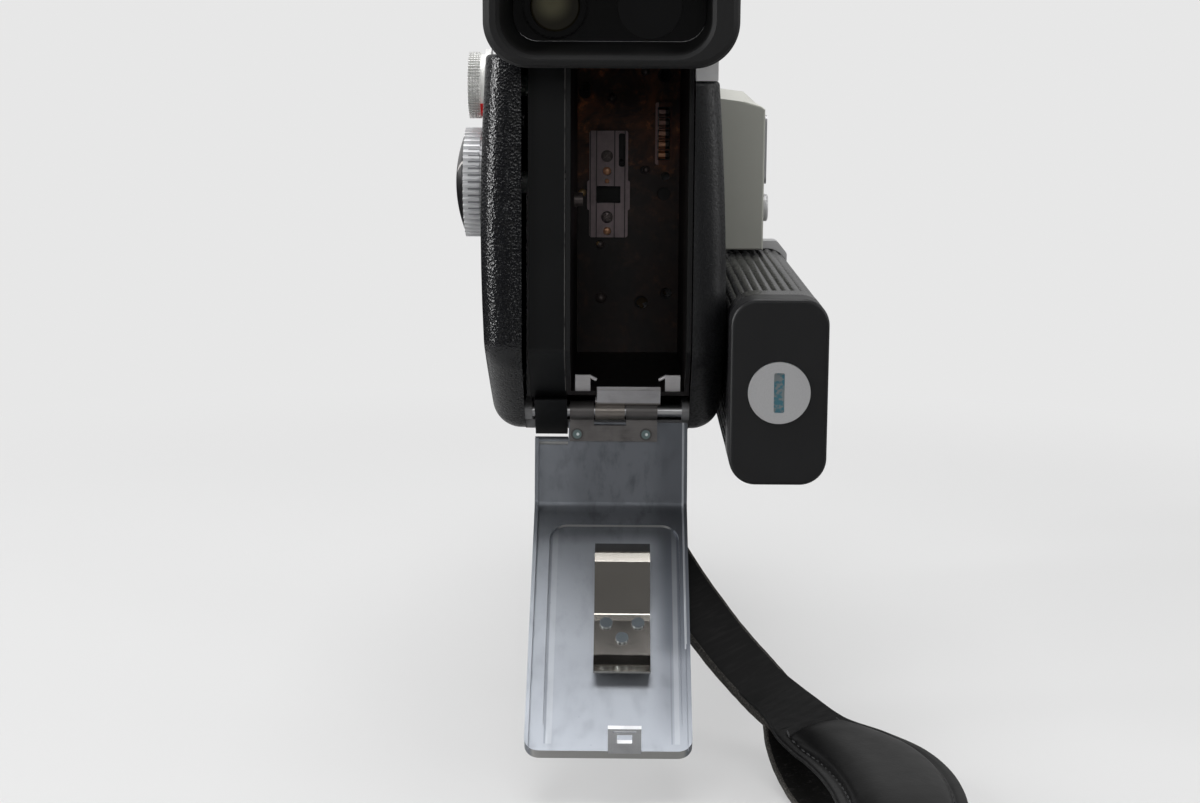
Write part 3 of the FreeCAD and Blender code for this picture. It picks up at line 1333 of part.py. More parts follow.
def make_mechanism():
    """Motor, gears, shutter, claw and the take-up drive."""
    motor_face = bulkhead_y + frame_wall
    motor = rod_y(motor_radius, motor_face, motor_face + motor_length, shutter_x, pinion_z)
    motor = motor.cut(rod_y(shaft_radius + 0.4, motor_face - 1, motor_face + 3, shutter_x, pinion_z))
    save("drive_motor", motor)

    half_tooth = math.pi / pinion_teeth
    pinion = gear("y", gear_y0, gear_y1, shutter_x, pinion_z, gear_module, pinion_teeth, math.pi / 2 + half_tooth)
    shaft = rod_y(shaft_radius, gear_y0, motor_face + 2.4, shutter_x, pinion_z)
    save("motor_pinion", fuse([pinion, shaft]))

    wheel = gear("y", gear_y0, gear_y1, shutter_x, shutter_z, gear_module, shutter_teeth, wheel_phase)
    shaft = rod_y(shaft_radius, gate_y + liner_wall + 2.3, motor_face - 0.3, shutter_x, shutter_z)
    save("shutter_shaft", fuse([wheel, shaft]))

    disc = rod_y(shutter_radius, gate_y + liner_wall + 1.4, gate_y + liner_wall + 2.0, shutter_x, shutter_z)
    wedge = []
    for degrees in (200, 235, 270, 305, 340):
        angle = math.radians(degrees)
        wedge.append((shutter_x + 1.6 * shutter_radius * math.cos(angle), shutter_z + 1.6 * shutter_radius * math.sin(angle)))
    opening = prism("y", gate_y, gate_y + 6, [(shutter_x, shutter_z - 4.0)] + wedge)
    hub = rod_y(2.6, gate_y + liner_wall + 1.4, gate_y + liner_wall + 2.3, shutter_x, shutter_z)
    save("shutter_disc", fuse([disc.cut(opening), hub]))

    pinion = gear("y", gear_y0, gear_y1, transfer_x, transfer_z, gear_module, pinion_teeth, transfer_phase())
    shaft = rod_y(shaft_radius, bearing_y - bearing_thickness + 0.4, motor_face - 0.3, transfer_x, transfer_z)
    roller = rod_y(roller_radius, spindle_y - roller_reach - 0.9, spindle_y - roller_reach + 0.9, transfer_x, transfer_z)
    save("transfer_shaft", fuse([pinion, shaft, roller]))

    disc_x = transfer_x + roller_radius + shaft_gap
    disc = rod_x(disc_radius, disc_x, disc_x + 1.0, spindle_y, spindle_z)
    shaft = rod_x(shaft_radius, disc_x, -chamber_left - liner_wall + 0.1, spindle_y, spindle_z)
    dog = rod_x(spindle_dog, -chamber_left - liner_wall, -chamber_left + 2.0, spindle_y, spindle_z)
    slot = box(-chamber_left + 0.8, -chamber_left + 3, spindle_y - 0.4, spindle_y + 0.4, spindle_z - 3, spindle_z + 3)
    save("takeup_spindle", fuse([disc, shaft, dog]).cut(slot))

    back = gate_y + liner_wall + run_gap
    bar = box(claw_slot_x - 0.7, claw_slot_x + 0.7, back, back + 0.8, lens_z + 3.2, lens_z + 18.0)
    tooth = prism("x", claw_slot_x - 0.45, claw_slot_x + 0.45, [
        (back + 0.1, lens_z + 7.2), (gate_y - gate_thickness - 0.6, lens_z + 7.4),
        (gate_y - gate_thickness - 0.6, lens_z + 8.0), (back + 0.1, lens_z + 8.5)])
    save("film_claw", fuse([bar, tooth]))


wheel_phase = -math.pi / 2


def transfer_phase():
    """The turn at which the transfer pinion's gap meets the wheel's nearest tooth."""
    toward = math.atan2(transfer_z - shutter_z, transfer_x - shutter_x)
    pitch = 2 * math.pi / shutter_teeth
    steps = (toward - wheel_phase) / pitch
    offset = (round(steps) - steps) * pitch
    return toward + math.pi - offset * shutter_teeth / pinion_teeth + math.pi / pinion_teeth


def strap_section(centre, along, width_hint, width, thickness):
    """The four corners of a strap at one place on its way."""
    along = along.normalize()
    across = width_hint - along * width_hint.dot(along)
    across = across.normalize()
    normal = along.cross(across).normalize()
    across = across * (width / 2)
    normal = normal * (thickness / 2)
    return [centre - across - normal, centre + across - normal, centre + across + normal, centre - across + normal]


def strap_sections(stations, thicknesses, widths):
    """The corners at each station of a strap: a place and the direction of its width."""
    sections = []
    for index, (place, hint) in enumerate(stations):
        before = stations[max(index - 1, 0)][0]
        after = stations[min(index + 1, len(stations) - 1)][0]
        sections.append(strap_section(vec(*place), vec(*after) - vec(*before), vec(*hint), widths[index], thicknesses[index]))
    return sections


def corner_face(*corners):
    """A flat face through its corners."""
    return Part.Face(Part.makePolygon(list(corners) + [corners[0]]))


def strap_sides(sections):
    """Flat three-cornered faces round a strap, from each section to the next."""
    faces = []
    for first, second in zip(sections, sections[1:]):
        for side in range(len(first)):
            turn = (side + 1) % len(first)
            faces.append(corner_face(first[side], first[turn], second[side]))
            faces.append(corner_face(first[turn], second[turn], second[side]))
    return faces


def strap_solid(faces):
    """A solid inside the faces of a strap."""
    solid = Part.makeSolid(Part.makeShell(faces))
    if solid.Volume < 0:
        solid.reverse()
    return solid


fold_radius = lug_wire + 0.1
hang = (
    ((6.0, -21.2, -7.5), (1, 0, 0)), ((6.6, -22.4, -11.5), (0.98, 0.1, 0.1)), ((8.6, -27.0, -18.0), (0.9, 0.3, 0.2)),
    ((12.2, -34.0, -23.6), (0.76, 0.5, 0.34)), ((17.0, -42.8, -29.4), (0.64, 0.6, 0.44)),
    ((22.4, -49.8, -35.4), (0.62, 0.6, 0.48)), ((26.8, -53.6, -40.2), (0.68, 0.55, 0.46)),
    ((31.2, -57.0, -44.4), (0.76, 0.5, 0.4)), ((35.2, -60.6, -48.0), (0.8, 0.5, 0.3)),
    ((38.4, -64.4, -50.8), (0.83, 0.52, 0.18)),
)
upper_run = (
    ((42.2, -70.4, -53.2), (0.85, 0.52, 0.04)), ((46.4, -77.0, -54.1), (0.88, 0.47, 0)), ((50.0, -84.8, -54.0), (0.92, 0.38, 0)),
    ((52.6, -94.2, -53.6), (0.97, 0.24, 0)), ((54.2, -104.6, -53.1), (0.99, 0.12, 0)), ((54.7, -115.0, -52.8), (1, 0.03, 0)),
    ((54.4, -125.0, -53.1), (1, -0.03, 0)), ((53.8, -133.6, -54.0), (1, -0.06, 0)), ((53.0, -140.6, -55.2), (1, -0.06, 0)),
    ((52.4, -144.6, -56.8), (1, -0.04, 0)), ((52.0, -145.8, -59.0), (1, -0.04, 0)), ((51.8, -143.8, -61.0), (1, -0.03, 0)),
    ((51.5, -138.0, -61.8), (1, 0, 0)), ((50.4, -124.0, -61.8), (1, 0.08, 0)), ((48.2, -108.0, -61.8), (0.98, 0.14, 0)),
    ((45.6, -94.0, -61.8), (0.97, 0.2, 0)), ((42.8, -81.5, -61.4), (0.95, 0.28, 0)), ((40.4, -72.4, -58.8), (0.9, 0.4, 0.05)),
    ((39.0, -67.6, -55.4), (0.86, 0.48, 0.12)),
)
pad_widths = (13.0, 19.6, 23.0, 23.5, 23.3, 22.5, 20.0, 14.0)
pad_depths = (1.4, 2.8, 3.6, 3.6, 3.6, 3.6, 2.8, 1.4)


def make_strap():
    """The wrist strap: folded over the lug, a doubled band, its wide loop, and the pad on the upper run."""
    x0 = lug_x - strap_width / 2
    x1 = lug_x + strap_width / 2
    outer = fold_radius + strap_thickness
    points = [(lug_y - outer, fold_z + outer), (lug_y + outer, fold_z + outer), (lug_y + outer, fold_z - 0.4),
              (lug_y + strap_doubled / 2 - 0.2, hang[0][0][2]), (lug_y - strap_doubled / 2 - 0.2, hang[0][0][2]),
              (lug_y - outer, fold_z - 0.4)]
    fold = prism("x", x0, x1, points, [outer - 0.05, outer - 0.05, 2.0, 0, 0, 2.0])
    eye = prism("x", x0 - 1, x1 + 1, [(lug_y - fold_radius, fold_z), (lug_y + fold_radius, fold_z),
                                      (lug_y, fold_z - 2.4)])
    fold = cut(fold, [rod_x(fold_radius, x0 - 1, x1 + 1, lug_y, fold_z), eye])

    # the doubled band, then one layer leaves on its upper half and comes back on its lower half
    place, hint = hang[0]
    doubled = [strap_section(vec(*place), vec(0, 0, -1), vec(*hint), strap_width, strap_doubled)]
    doubled += strap_sections(hang, [strap_doubled] * len(hang), [strap_width] * len(hang))[1:]
    hanging = []
    for low_left, low_right, high_right, high_left in doubled:
        hanging.append([low_left, low_right, (low_right + high_right) / 2, high_right, high_left, (high_left + low_left) / 2])
    low_left, low_right, middle_right, high_right, high_left, middle_left = hanging[-1]
    single = [[middle_left, middle_right, high_right, high_left]]
    single += strap_sections(upper_run, [strap_thickness] * len(upper_run), [strap_width] * len(upper_run))
    single.append([middle_left, middle_right, low_right, low_left])
    band = strap_solid([corner_face(*hanging[0])] + strap_sides(hanging) + strap_sides(single))
    save("wrist_strap", fuse([fold, band]))

    stations = []
    for (place, hint), depth in zip(upper_run, pad_depths):
        rise = strap_thickness / 2 + pad_gap + depth / 2
        stations.append(((place[0], place[1], place[2] + rise), hint))
    sections = strap_sections(stations, pad_depths, pad_widths)
    save("strap_pad", strap_solid([corner_face(*sections[0]), corner_face(*sections[-1])] + strap_sides(sections)))


make_shells()
make_frame()
make_chamber()
make_feelers()
make_strip()
make_hinge()
make_door()
make_latch()
make_chamber_clips()
make_top_housing()
make_eyecup()
make_front_and_lens()
make_dials()
make_side_housing()
make_grip()
make_base()
make_mechanism()
make_trigger()
make_strap()
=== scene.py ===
import json
import math
import random

import bpy
from mathutils import Matrix, Vector

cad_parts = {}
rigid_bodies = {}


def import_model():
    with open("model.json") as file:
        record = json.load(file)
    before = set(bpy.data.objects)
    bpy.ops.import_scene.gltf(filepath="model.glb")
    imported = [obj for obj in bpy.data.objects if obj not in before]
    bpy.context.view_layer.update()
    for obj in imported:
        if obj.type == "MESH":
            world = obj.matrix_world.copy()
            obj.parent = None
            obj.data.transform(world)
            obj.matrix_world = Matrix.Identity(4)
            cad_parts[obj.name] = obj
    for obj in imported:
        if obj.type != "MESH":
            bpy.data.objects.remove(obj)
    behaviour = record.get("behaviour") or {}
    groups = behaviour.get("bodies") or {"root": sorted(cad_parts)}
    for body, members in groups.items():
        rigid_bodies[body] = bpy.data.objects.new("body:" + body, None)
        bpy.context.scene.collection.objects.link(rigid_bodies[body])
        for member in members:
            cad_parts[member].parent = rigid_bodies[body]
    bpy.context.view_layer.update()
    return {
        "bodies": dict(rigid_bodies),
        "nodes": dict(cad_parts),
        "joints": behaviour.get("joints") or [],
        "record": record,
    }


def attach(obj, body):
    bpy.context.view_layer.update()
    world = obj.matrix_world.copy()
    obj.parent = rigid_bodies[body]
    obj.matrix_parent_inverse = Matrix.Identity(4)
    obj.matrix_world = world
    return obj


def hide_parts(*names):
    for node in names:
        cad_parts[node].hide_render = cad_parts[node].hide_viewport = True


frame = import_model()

mm = 0.001
print("frame loaded:", len(frame["nodes"]), "nodes")


# Shader helpers

class Socket:
    # one output of a node, so that sums on it read as sums
    def __init__(self, tree, output):
        self.tree = tree
        self.output = output

    def sum(self, operation, first, second=0.0):
        return self.tree.node("ShaderNodeMath", {"operation": operation}, {0: first, 1: second})

    def __add__(self, other): return self.sum("ADD", self, other)
    def __radd__(self, other): return self.sum("ADD", other, self)
    def __sub__(self, other): return self.sum("SUBTRACT", self, other)
    def __rsub__(self, other): return self.sum("SUBTRACT", other, self)
    def __mul__(self, other): return self.sum("MULTIPLY", self, other)
    def __rmul__(self, other): return self.sum("MULTIPLY", other, self)
    def __pow__(self, other): return self.sum("POWER", self, other)
    def __gt__(self, other): return self.sum("GREATER_THAN", self, other)
    def __lt__(self, other): return self.sum("LESS_THAN", self, other)
    def __abs__(self): return self.sum("ABSOLUTE", self)


class Tree:
    # a node tree that works in millimetres of the part frame
    def __init__(self, tree):
        self.tree = tree
        tree.nodes.clear()

    def feed(self, socket, value):
        if isinstance(value, Socket):
            self.tree.links.new(value.output, socket)
        elif isinstance(value, (tuple, list)) and socket.type == "RGBA" and len(value) == 3:
            socket.default_value = (*value, 1)
        else:
            socket.default_value = value

    def node(self, kind, settings=None, values=None, output=0):
        made = self.tree.nodes.new(kind)
        for name, value in (settings or {}).items():
            setattr(made, name, value)
        for name, value in (values or {}).items():
            self.feed(made.inputs[name], value)
        return Socket(self, made.outputs[output])

    def place(self, stretch=(1, 1, 1)):
        spot = self.node("ShaderNodeTexCoord", output="Object")
        size = tuple(s / mm for s in stretch)
        return self.node("ShaderNodeVectorMath", {"operation": "MULTIPLY"}, {0: spot, 1: size})

    def axes(self, spot=None):
        # X, Y and Z of a vector, by default of the place in millimetres
        parts = self.node("ShaderNodeSeparateXYZ", values={0: spot or self.place()}).output.node
        return [Socket(self, parts.outputs[i]) for i in range(3)]

    def dot(self, first, second):
        return self.node("ShaderNodeVectorMath", {"operation": "DOT_PRODUCT"}, {0: first, 1: second}, "Value")

    def facing(self, direction):
        # how far the unposed surface faces a direction, from -1 to 1
        return self.dot(self.node("ShaderNodeTexCoord", output="Normal"), direction)

    def along(self, direction):
        # millimetres along a direction
        return self.dot(self.place(), direction)

    def noise(self, scale, detail, rough=0.5, stretch=(1, 1, 1), warp=0.0):
        return self.node("ShaderNodeTexNoise", values={
            "Vector": self.place(stretch), "Scale": scale, "Detail": detail,
            "Roughness": rough, "Distortion": warp})

    def cells(self, scale, feature="F1", output="Distance"):
        return self.node("ShaderNodeTexVoronoi", {"feature": feature},
                         {"Vector": self.place(), "Scale": scale}, output)

    def span(self, value, low, high, start=0.0, end=1.0):
        # a smooth step from start to end
        return self.node("ShaderNodeMapRange", {"interpolation_type": "SMOOTHSTEP"},
                         {"Value": value, "From Min": low, "From Max": high, "To Min": start, "To Max": end})

    def band(self, value, low, high, soft=0.1):
        # 1 between low and high, with soft ends
        return self.span(value, low - soft, low) * self.span(value, high, high + soft, 1.0, 0.0)

    def within(self, value, low, high):
        # 1 between low and high, with sharp ends
        return (value > low) * (value < high)

    def disc(self, x, z, spot, reach, soft):
        # 1 inside a circle seen along the Y axis
        across, up = x - spot[0], z - spot[1]
        return self.span(across * across + up * up, (reach - soft) ** 2, (reach + soft) ** 2, 1.0, 0.0)

    def away(self, spot):
        # distance from an axis that runs along Y
        x, _, z = self.axes()
        across, up = x - spot[0], z - spot[1]
        return (across * across + up * up) ** 0.5

    def mix(self, first, second, share):
        return self.node("ShaderNodeMix", {"data_type": "RGBA"}, {0: share, 6: first, 7: second}, output=2)

    def handled(self):
        # soft marks of handling
        return self.span(self.noise(0.16, 4, 0.55, warp=0.4), 0.4, 0.7)

    def dust(self, amount):
        # a few pale specks, as on any handled camera: near the middle of some cells
        pick = self.axes(self.cells(speck["scale"], output="Color"))[0]
        near = self.span(self.cells(speck["scale"]), speck["core"], speck["edge"], 1.0, 0.0)
        return near * (pick > 1 - speck["share"] * amount)


class Finish(Tree):
    # a material with one Principled shader
    def __init__(self, name, **look):
        self.material = bpy.data.materials.new(name)
        self.material.use_nodes = True
        super().__init__(self.material.node_tree)
        self.shader = self.tree.nodes.new("ShaderNodeBsdfPrincipled")
        self.end = self.tree.nodes.new("ShaderNodeOutputMaterial")
        self.tree.links.new(self.shader.outputs[0], self.end.inputs["Surface"])
        self.set(look)

    def set(self, look):
        for name, value in look.items():
            self.feed(self.shader.inputs[name.replace("_", " ")], value)

    def bump(self, height, depth):
        # depth in millimetres for a height from 0 to 1
        self.set({"Normal": self.node("ShaderNodeBump", values={"Height": height, "Distance": depth * mm})})


speck = {"scale": 0.28, "core": 0.02, "edge": 0.05, "share": 0.2}
finishes = {}


def finish(slotName, **look):
    # makes the finish of one of the record's slots, which the function below dresses
    def keep(dress):
        made = Finish(slotName + "_finish", **look)
        dress(made)
        finishes[slotName] = made.material
        return dress
    return keep


def finishAll(dress, looks):
    # slots that differ only in their settings
    for slotName, look in looks.items():
        finish(slotName)(lambda made: dress(made, **look))


# Finishes of the body

shell = {"black": (0.004, 0.0042, 0.0048), "paler": (0.013, 0.0135, 0.0155), "grain": 2.0, "fine": 4.6,
         "fineShare": 0.3, "rightShare": 0.25, "valley": (0.3, 0.7), "gloss": 0.11, "depth": 0.1,
         "rightX": 10.0}


@finish("crackle_paint")
def cracklePaint(paint):
    # wrinkle paint, coarser and deeper on the left shell
    right = paint.axes()[0] > shell["rightX"]
    lumps = paint.cells(shell["grain"], "SMOOTH_F1")
    small = paint.cells(shell["fine"], "SMOOTH_F1")
    coarse = (1 - lumps) * (1 - right * (1 - shell["rightShare"]))
    height = coarse + (1 - small) * shell["fineShare"]
    valley = paint.span(lumps, *shell["valley"])
    paint.set({"Base Color": paint.mix(shell["paler"], shell["black"], valley),
               "Roughness": shell["gloss"] + valley * 0.2 + right * 0.24})
    paint.bump(height, shell["depth"])


satin = {"black": (0.0045, 0.0048, 0.0054), "cloudy": (0.0085, 0.009, 0.0098),
         "paler": (0.16, 0.155, 0.15), "edgeX": (-8.86, -8.66), "edgeLow": 12.0,
         "seam": (0.0008, 0.0008, 0.0008), "seamY": (27.5, 30.0)}


@finish("satin_black", Specular_IOR_Level=0.3)
def satinBlack(paint):
    # a painted highlight along the strip's edge beside the chamber, broken up by noise, and dark in the seam
    # behind it
    x, y, z = paint.axes()
    cloud = paint.noise(0.09, 4)
    peel = paint.noise(1.6, 2)
    edge = paint.band(x, *satin["edgeX"], 0.03) * (z > satin["edgeLow"]) * (y < 0.0)
    # painted highlight along the strip's edge
    paler = edge * paint.span(paint.noise(0.3, 3), 0.3, 0.5)
    base = paint.mix(satin["black"], satin["cloudy"], cloud)
    base = paint.mix(base, satin["seam"], paint.band(y, *satin["seamY"]))
    paint.set({"Base Color": paint.mix(base, satin["paler"], paler), "Roughness": 0.36 + cloud * 0.16})
    paint.bump(peel, 0.012)


chamber = {"black": (0.022, 0.019, 0.019), "brown": (0.3, 0.105, 0.045), "copper": (1.0, 0.36, 0.13),
           "wallY": (22.0, 24.0), "paintedLightZ": (40.0, 76.0), "rim": (0.008, 0.008, 0.0085),
           "rimY": (-40.0, -30.0), "hole": (0.006, 0.005, 0.005), "comb": (0.62, 0.43, 0.42),
           "combX": (11.2, 12.05), "combY": (24.9, 25.5), "combLow": 58.0,
           "holes": [(-5.8, 75.4, 1.5), (13.5, 79.6, 1.7), (13.5, 51.0, 1.6), (8.6, 56.8, 0.9),
                     (8.1, 24.3, 1.6), (14.3, 26.5, 1.4), (-1.9, 25.2, 1.1)]}


@finish("chamber_black", Metallic=0.1)
def chamberBlack(paint):
    # copper stains on the back wall, stronger towards the top as painted light, dark holes of painted shade,
    # and the pale lit edge of the comb, a painted highlight
    x, y, z = paint.axes()
    wall = paint.span(y, *chamber["wallY"])
    # painted light: the stains are real, but their growth towards the top paints the light on the upper wall
    rise = paint.span(z, *chamber["paintedLightZ"], 0.1, 1.0)
    stain = paint.span(paint.noise(0.1, 6, 0.62, warp=0.6), 0.4, 0.68)
    spots = paint.span(paint.noise(0.3, 5, 0.7), 0.5, 0.72)
    tint = paint.mix(chamber["brown"], chamber["copper"], spots)
    # the holes are painted shade: dark discs with only a shallow bump
    sunk = 0.0
    for holeX, holeZ, reach in chamber["holes"]:
        sunk = paint.disc(x, z, (holeX, holeZ), reach, 0.15) + sunk
    base = paint.mix(chamber["black"], tint, wall * rise * (0.12 + stain * 0.88))
    base = paint.mix(base, chamber["hole"], sunk * wall)
    comb = paint.within(x, *chamber["combX"]) * paint.within(y, *chamber["combY"])
    base = paint.mix(base, chamber["comb"], comb * (z > chamber["combLow"]))
    paint.set({"Base Color": paint.mix(chamber["rim"], base, paint.span(y, *chamber["rimY"])),
               "Roughness": 0.42 + paint.noise(0.5, 3) * 0.2})
    paint.bump(paint.noise(2.2, 3) * 0.2 - sunk * 0.8, 0.1)


@finish("cast_grey", Metallic=0.6, Roughness=0.5)
def castGrey(metal):
    grain = metal.noise(1.4, 4)
    metal.set({"Base Color": metal.mix((0.26, 0.26, 0.265), (0.38, 0.38, 0.385), grain)})
    metal.bump(grain, 0.03)


brushed = {
    "steel": {"pale": (0.62, 0.62, 0.63), "dark": (0.42, 0.42, 0.43), "rough": 0.28},
    "taupe_plate": {"pale": (0.2, 0.19, 0.185), "dark": (0.12, 0.112, 0.11), "rough": 0.38,
                    "stretch": (0.05, 1, 1), "scale": 6.0, "metallic": 0.75},
    "bracket_metal": {"pale": (0.8, 0.81, 0.83), "dark": (0.62, 0.63, 0.65), "rough": 0.36,
                      "stretch": (1, 1, 1), "scale": 3.0, "metallic": 0.6},
}


def brushedMetal(metal, pale, dark, rough, stretch=(0.06, 1, 1), scale=5.0, metallic=1.0):
    # rolled or brushed metal: fine lines one way and soft handling marks
    lines = metal.noise(scale, 3, 0.6, stretch)
    marks = metal.handled()
    metal.set({"Base Color": metal.mix(pale, dark, lines * 0.5 + marks * 0.5), "Metallic": metallic,
               "Roughness": rough + lines * 0.08 + marks * 0.1})
    metal.bump(lines, 0.008)


finishAll(brushedMetal, brushed)

plated = {"pale": (0.6, 0.6, 0.61), "dark": (0.5, 0.5, 0.51), "back": (0.95, 0.95, 0.95), "backY": -44.6}


@finish("satin_chrome")
def satinChrome(metal):
    # plated sheet; the face that looks back is painted pale and made nearly non-metallic, as painted light
    lines = metal.noise(6.0, 3, 0.6, (1, 0.05, 1))
    marks = metal.handled()
    # painted light on the face that looks back
    back = metal.axes()[1] < plated["backY"]
    tone = metal.mix(plated["pale"], plated["dark"], lines * 0.5 + marks * 0.12)
    metal.set({"Base Color": metal.mix(tone, plated["back"], back), "Metallic": 1 - back * 0.9,
               "Roughness": 0.4 + lines * 0.08 + marks * 0.04})
    metal.bump(lines, 0.008)


gate = {"grooves": [-4.45, -2.95, 1.45, 3.95], "half": 0.08, "soft": 0.06, "pale": (0.56, 0.45, 0.47),
        "dark": (0.34, 0.27, 0.285), "shade": (0.03, 0.024, 0.025)}


@finish("mauve_plate", Metallic=0.25)
def mauvePlate(metal):
    # pressed film guides run up the plate as fine dark grooves
    x = metal.axes()[0]
    grain = metal.noise(6.0, 3, 0.6, (1, 1, 0.08))
    marks = metal.span(metal.noise(0.3, 4, 0.6), 0.4, 0.7)
    lines = 0.0
    for centre in gate["grooves"]:
        low, high = centre - gate["half"], centre + gate["half"]
        lines = metal.band(x, low, high, gate["soft"]) + lines
    tone = metal.mix(gate["pale"], gate["dark"], grain * 0.6 + marks * 0.4)
    metal.set({"Base Color": metal.mix(tone, gate["shade"], lines * 0.85),
               "Roughness": 0.42 + grain * 0.1})
    metal.bump(grain * 0.15 - lines, 0.08)


screws = {"pale": (0.3, 0.25, 0.24), "dark": (0.15, 0.125, 0.12), "claw": (0.008, 0.007, 0.007),
          "clawX": (2.0, 4.1), "clawY": (23.5, 29.0), "clawLow": 50.0}


@finish("dark_screw", Metallic=0.5)
def darkScrew(metal):
    # blackened steel; the claw in its slot is painted darker still, as painted shade of the slot
    x, y, z = metal.axes()
    cloud = metal.noise(1.4, 4)
    # painted shade where the claw sits in its slot
    claw = metal.band(x, *screws["clawX"]) * metal.band(y, *screws["clawY"])
    claw = claw * (z > screws["clawLow"])
    tone = metal.mix(screws["pale"], screws["dark"], cloud)
    metal.set({"Base Color": metal.mix(tone, screws["claw"], claw), "Roughness": 0.34 + cloud * 0.1})
    metal.bump(cloud, 0.01)


fingers = {"bright": (1.0, 0.5, 0.27), "dull": (0.4, 0.27, 0.26), "shade": (0.02, 0.014, 0.012),
           "lightFadeZ": (60.0, 71.0), "bendX": (13.55, 13.85)}


@finish("copper", Metallic=0.35)
def copper(metal):
    # painted light: bright at the fingers' tips, which catch light from below, darker upwards, and painted
    # shade past their bend
    x, _, z = metal.axes()
    cloud = metal.noise(1.6, 3)
    # painted light fading upwards from the lit tips
    tone = metal.mix(fingers["bright"], fingers["dull"], metal.span(z, *fingers["lightFadeZ"]) * 0.8 + cloud * 0.2)
    metal.set({"Base Color": metal.mix(tone, fingers["shade"], metal.span(x, *fingers["bendX"])),
               "Roughness": 0.3 + cloud * 0.1})
    metal.bump(cloud, 0.01)


gears = {"pale": (0.95, 0.68, 0.36), "dark": (0.66, 0.44, 0.22), "shaded": (0.07, 0.045, 0.02),
         "shadedY": (27.0, 28.5), "shadedTop": 60.0}


@finish("brass", Metallic=0.5)
def brass(metal):
    # yellow brass; the gears behind the chamber wall are painted dark, as painted shade
    _, y, z = metal.axes()
    cloud = metal.noise(1.2, 4)
    # painted shade behind the chamber wall
    shaded = metal.span(y, *gears["shadedY"]) * (z < gears["shadedTop"])
    tone = metal.mix(gears["pale"], gears["dark"], cloud)
    metal.set({"Base Color": metal.mix(tone, gears["shaded"], shaded), "Roughness": 0.27 + cloud * 0.1})
    metal.bump(cloud, 0.008)


hinge = {"pale": (0.96, 0.94, 0.95), "dark": (0.7, 0.68, 0.69), "dull": (0.3, 0.27, 0.245),
         "x": (-2.5, 12.2), "top": 12.9, "rimZ": (12.2, 12.5), "curlZ": (8.6, 9.2), "curlY": -20.0}


@finish("chrome")
def chrome(metal):
    # brushed plate, dull where the hinge leaf curls round its rod; the leaf, most of all its top rim, is made
    # less metallic to show pale, as painted light
    x, y, z = metal.axes()
    lines = metal.noise(5.0, 3, 0.6, (0.08, 1, 1))
    marks = metal.handled()
    curl = metal.span(z, *hinge["curlZ"], 1.0, 0.0) * (y < hinge["curlY"])
    leaf = metal.within(x, *hinge["x"]) * (z < hinge["top"]) * (1 - curl)
    rim = leaf * metal.span(z, *hinge["rimZ"])
    tone = metal.mix(hinge["pale"], hinge["dark"], lines * 0.5 + marks * 0.4)
    # painted light: less metallic on the leaf and its rim
    metal.set({"Base Color": metal.mix(tone, hinge["dull"], curl),
               "Metallic": 0.7 - leaf * 0.3 - rim * 0.3, "Roughness": 0.3 + lines * 0.08})
    metal.bump(lines, 0.008)


rivets = {"pale": (0.86, 0.92, 0.95), "dark": (0.58, 0.66, 0.7), "top": (0.1, 0.125, 0.15),
          "topFacing": (0.0, -0.6, 0.8), "plateLow": -8.0, "plateX": [-6.3, 8.9], "plateZ": 1.7,
          "reach": 0.95, "ring": (0.1, 0.095, 0.093), "dull": (0.16, 0.22, 0.22),
          "glint": (0.9, 0.95, 0.95), "glintReach": 0.3, "glintAside": 0.15, "soft": 0.12}


@finish("bright_rivet")
def brightRivet(metal):
    # the rivets of the hinge plate are duller and greener than those of the clip, each with a small painted
    # glint; the flat tops of the clip's rivets are darkened by the way they face, a painted reflection
    x, _, z = metal.axes()
    cloud = metal.noise(0.9, 3)
    plate = z > rivets["plateLow"]
    inner, glint = 0.0, 0.0
    for headX in rivets["plateX"]:
        inner = metal.disc(x, z, (headX, rivets["plateZ"]), rivets["reach"], rivets["soft"]) + inner
        # a small painted glint on each rivet of the plate
        glintSpot = (headX + rivets["glintAside"], rivets["plateZ"])
        glint = metal.disc(x, z, glintSpot, rivets["glintReach"], rivets["soft"]) + glint
    dull = metal.mix(rivets["ring"], rivets["dull"], inner)
    dull = metal.mix(dull, rivets["glint"], glint)
    # painted reflection: the flat tops of the clip's rivets are darker
    top = metal.span(metal.facing(rivets["topFacing"]), 0.86, 0.97) * 0.8
    tone = metal.mix(metal.mix(rivets["pale"], rivets["dark"], cloud), rivets["top"], top)
    metal.set({"Base Color": metal.mix(tone, dull, plate), "Metallic": 0.7 - plate * glint * 0.5,
               "Roughness": 0.14 + cloud * 0.08 + plate * 0.24})
    metal.bump(cloud, 0.01)


clip = {"pale": (0.72, 0.68, 0.62), "dark": (0.46, 0.44, 0.41), "foot": (0.14, 0.132, 0.125),
        "footZ": (-39.4, -33.1)}


@finish("spring_nickel", Metallic=1.0)
def springNickel(metal):
    # plated spring, darker where the clip's foot turns from the light
    freckle = metal.span(metal.noise(1.6, 5, 0.65), 0.5, 0.72)
    cloud = metal.noise(0.16, 3)
    foot = metal.band(metal.axes()[2], *clip["footZ"], 0.2)
    tone = metal.mix(clip["pale"], clip["dark"], freckle * 0.12 + cloud * 0.3)
    metal.set({"Base Color": metal.mix(tone, clip["foot"], foot * (0.8 + freckle * 0.15)),
               "Roughness": 0.16 + cloud * 0.08})
    metal.bump(metal.noise(4.0, 2), 0.002)


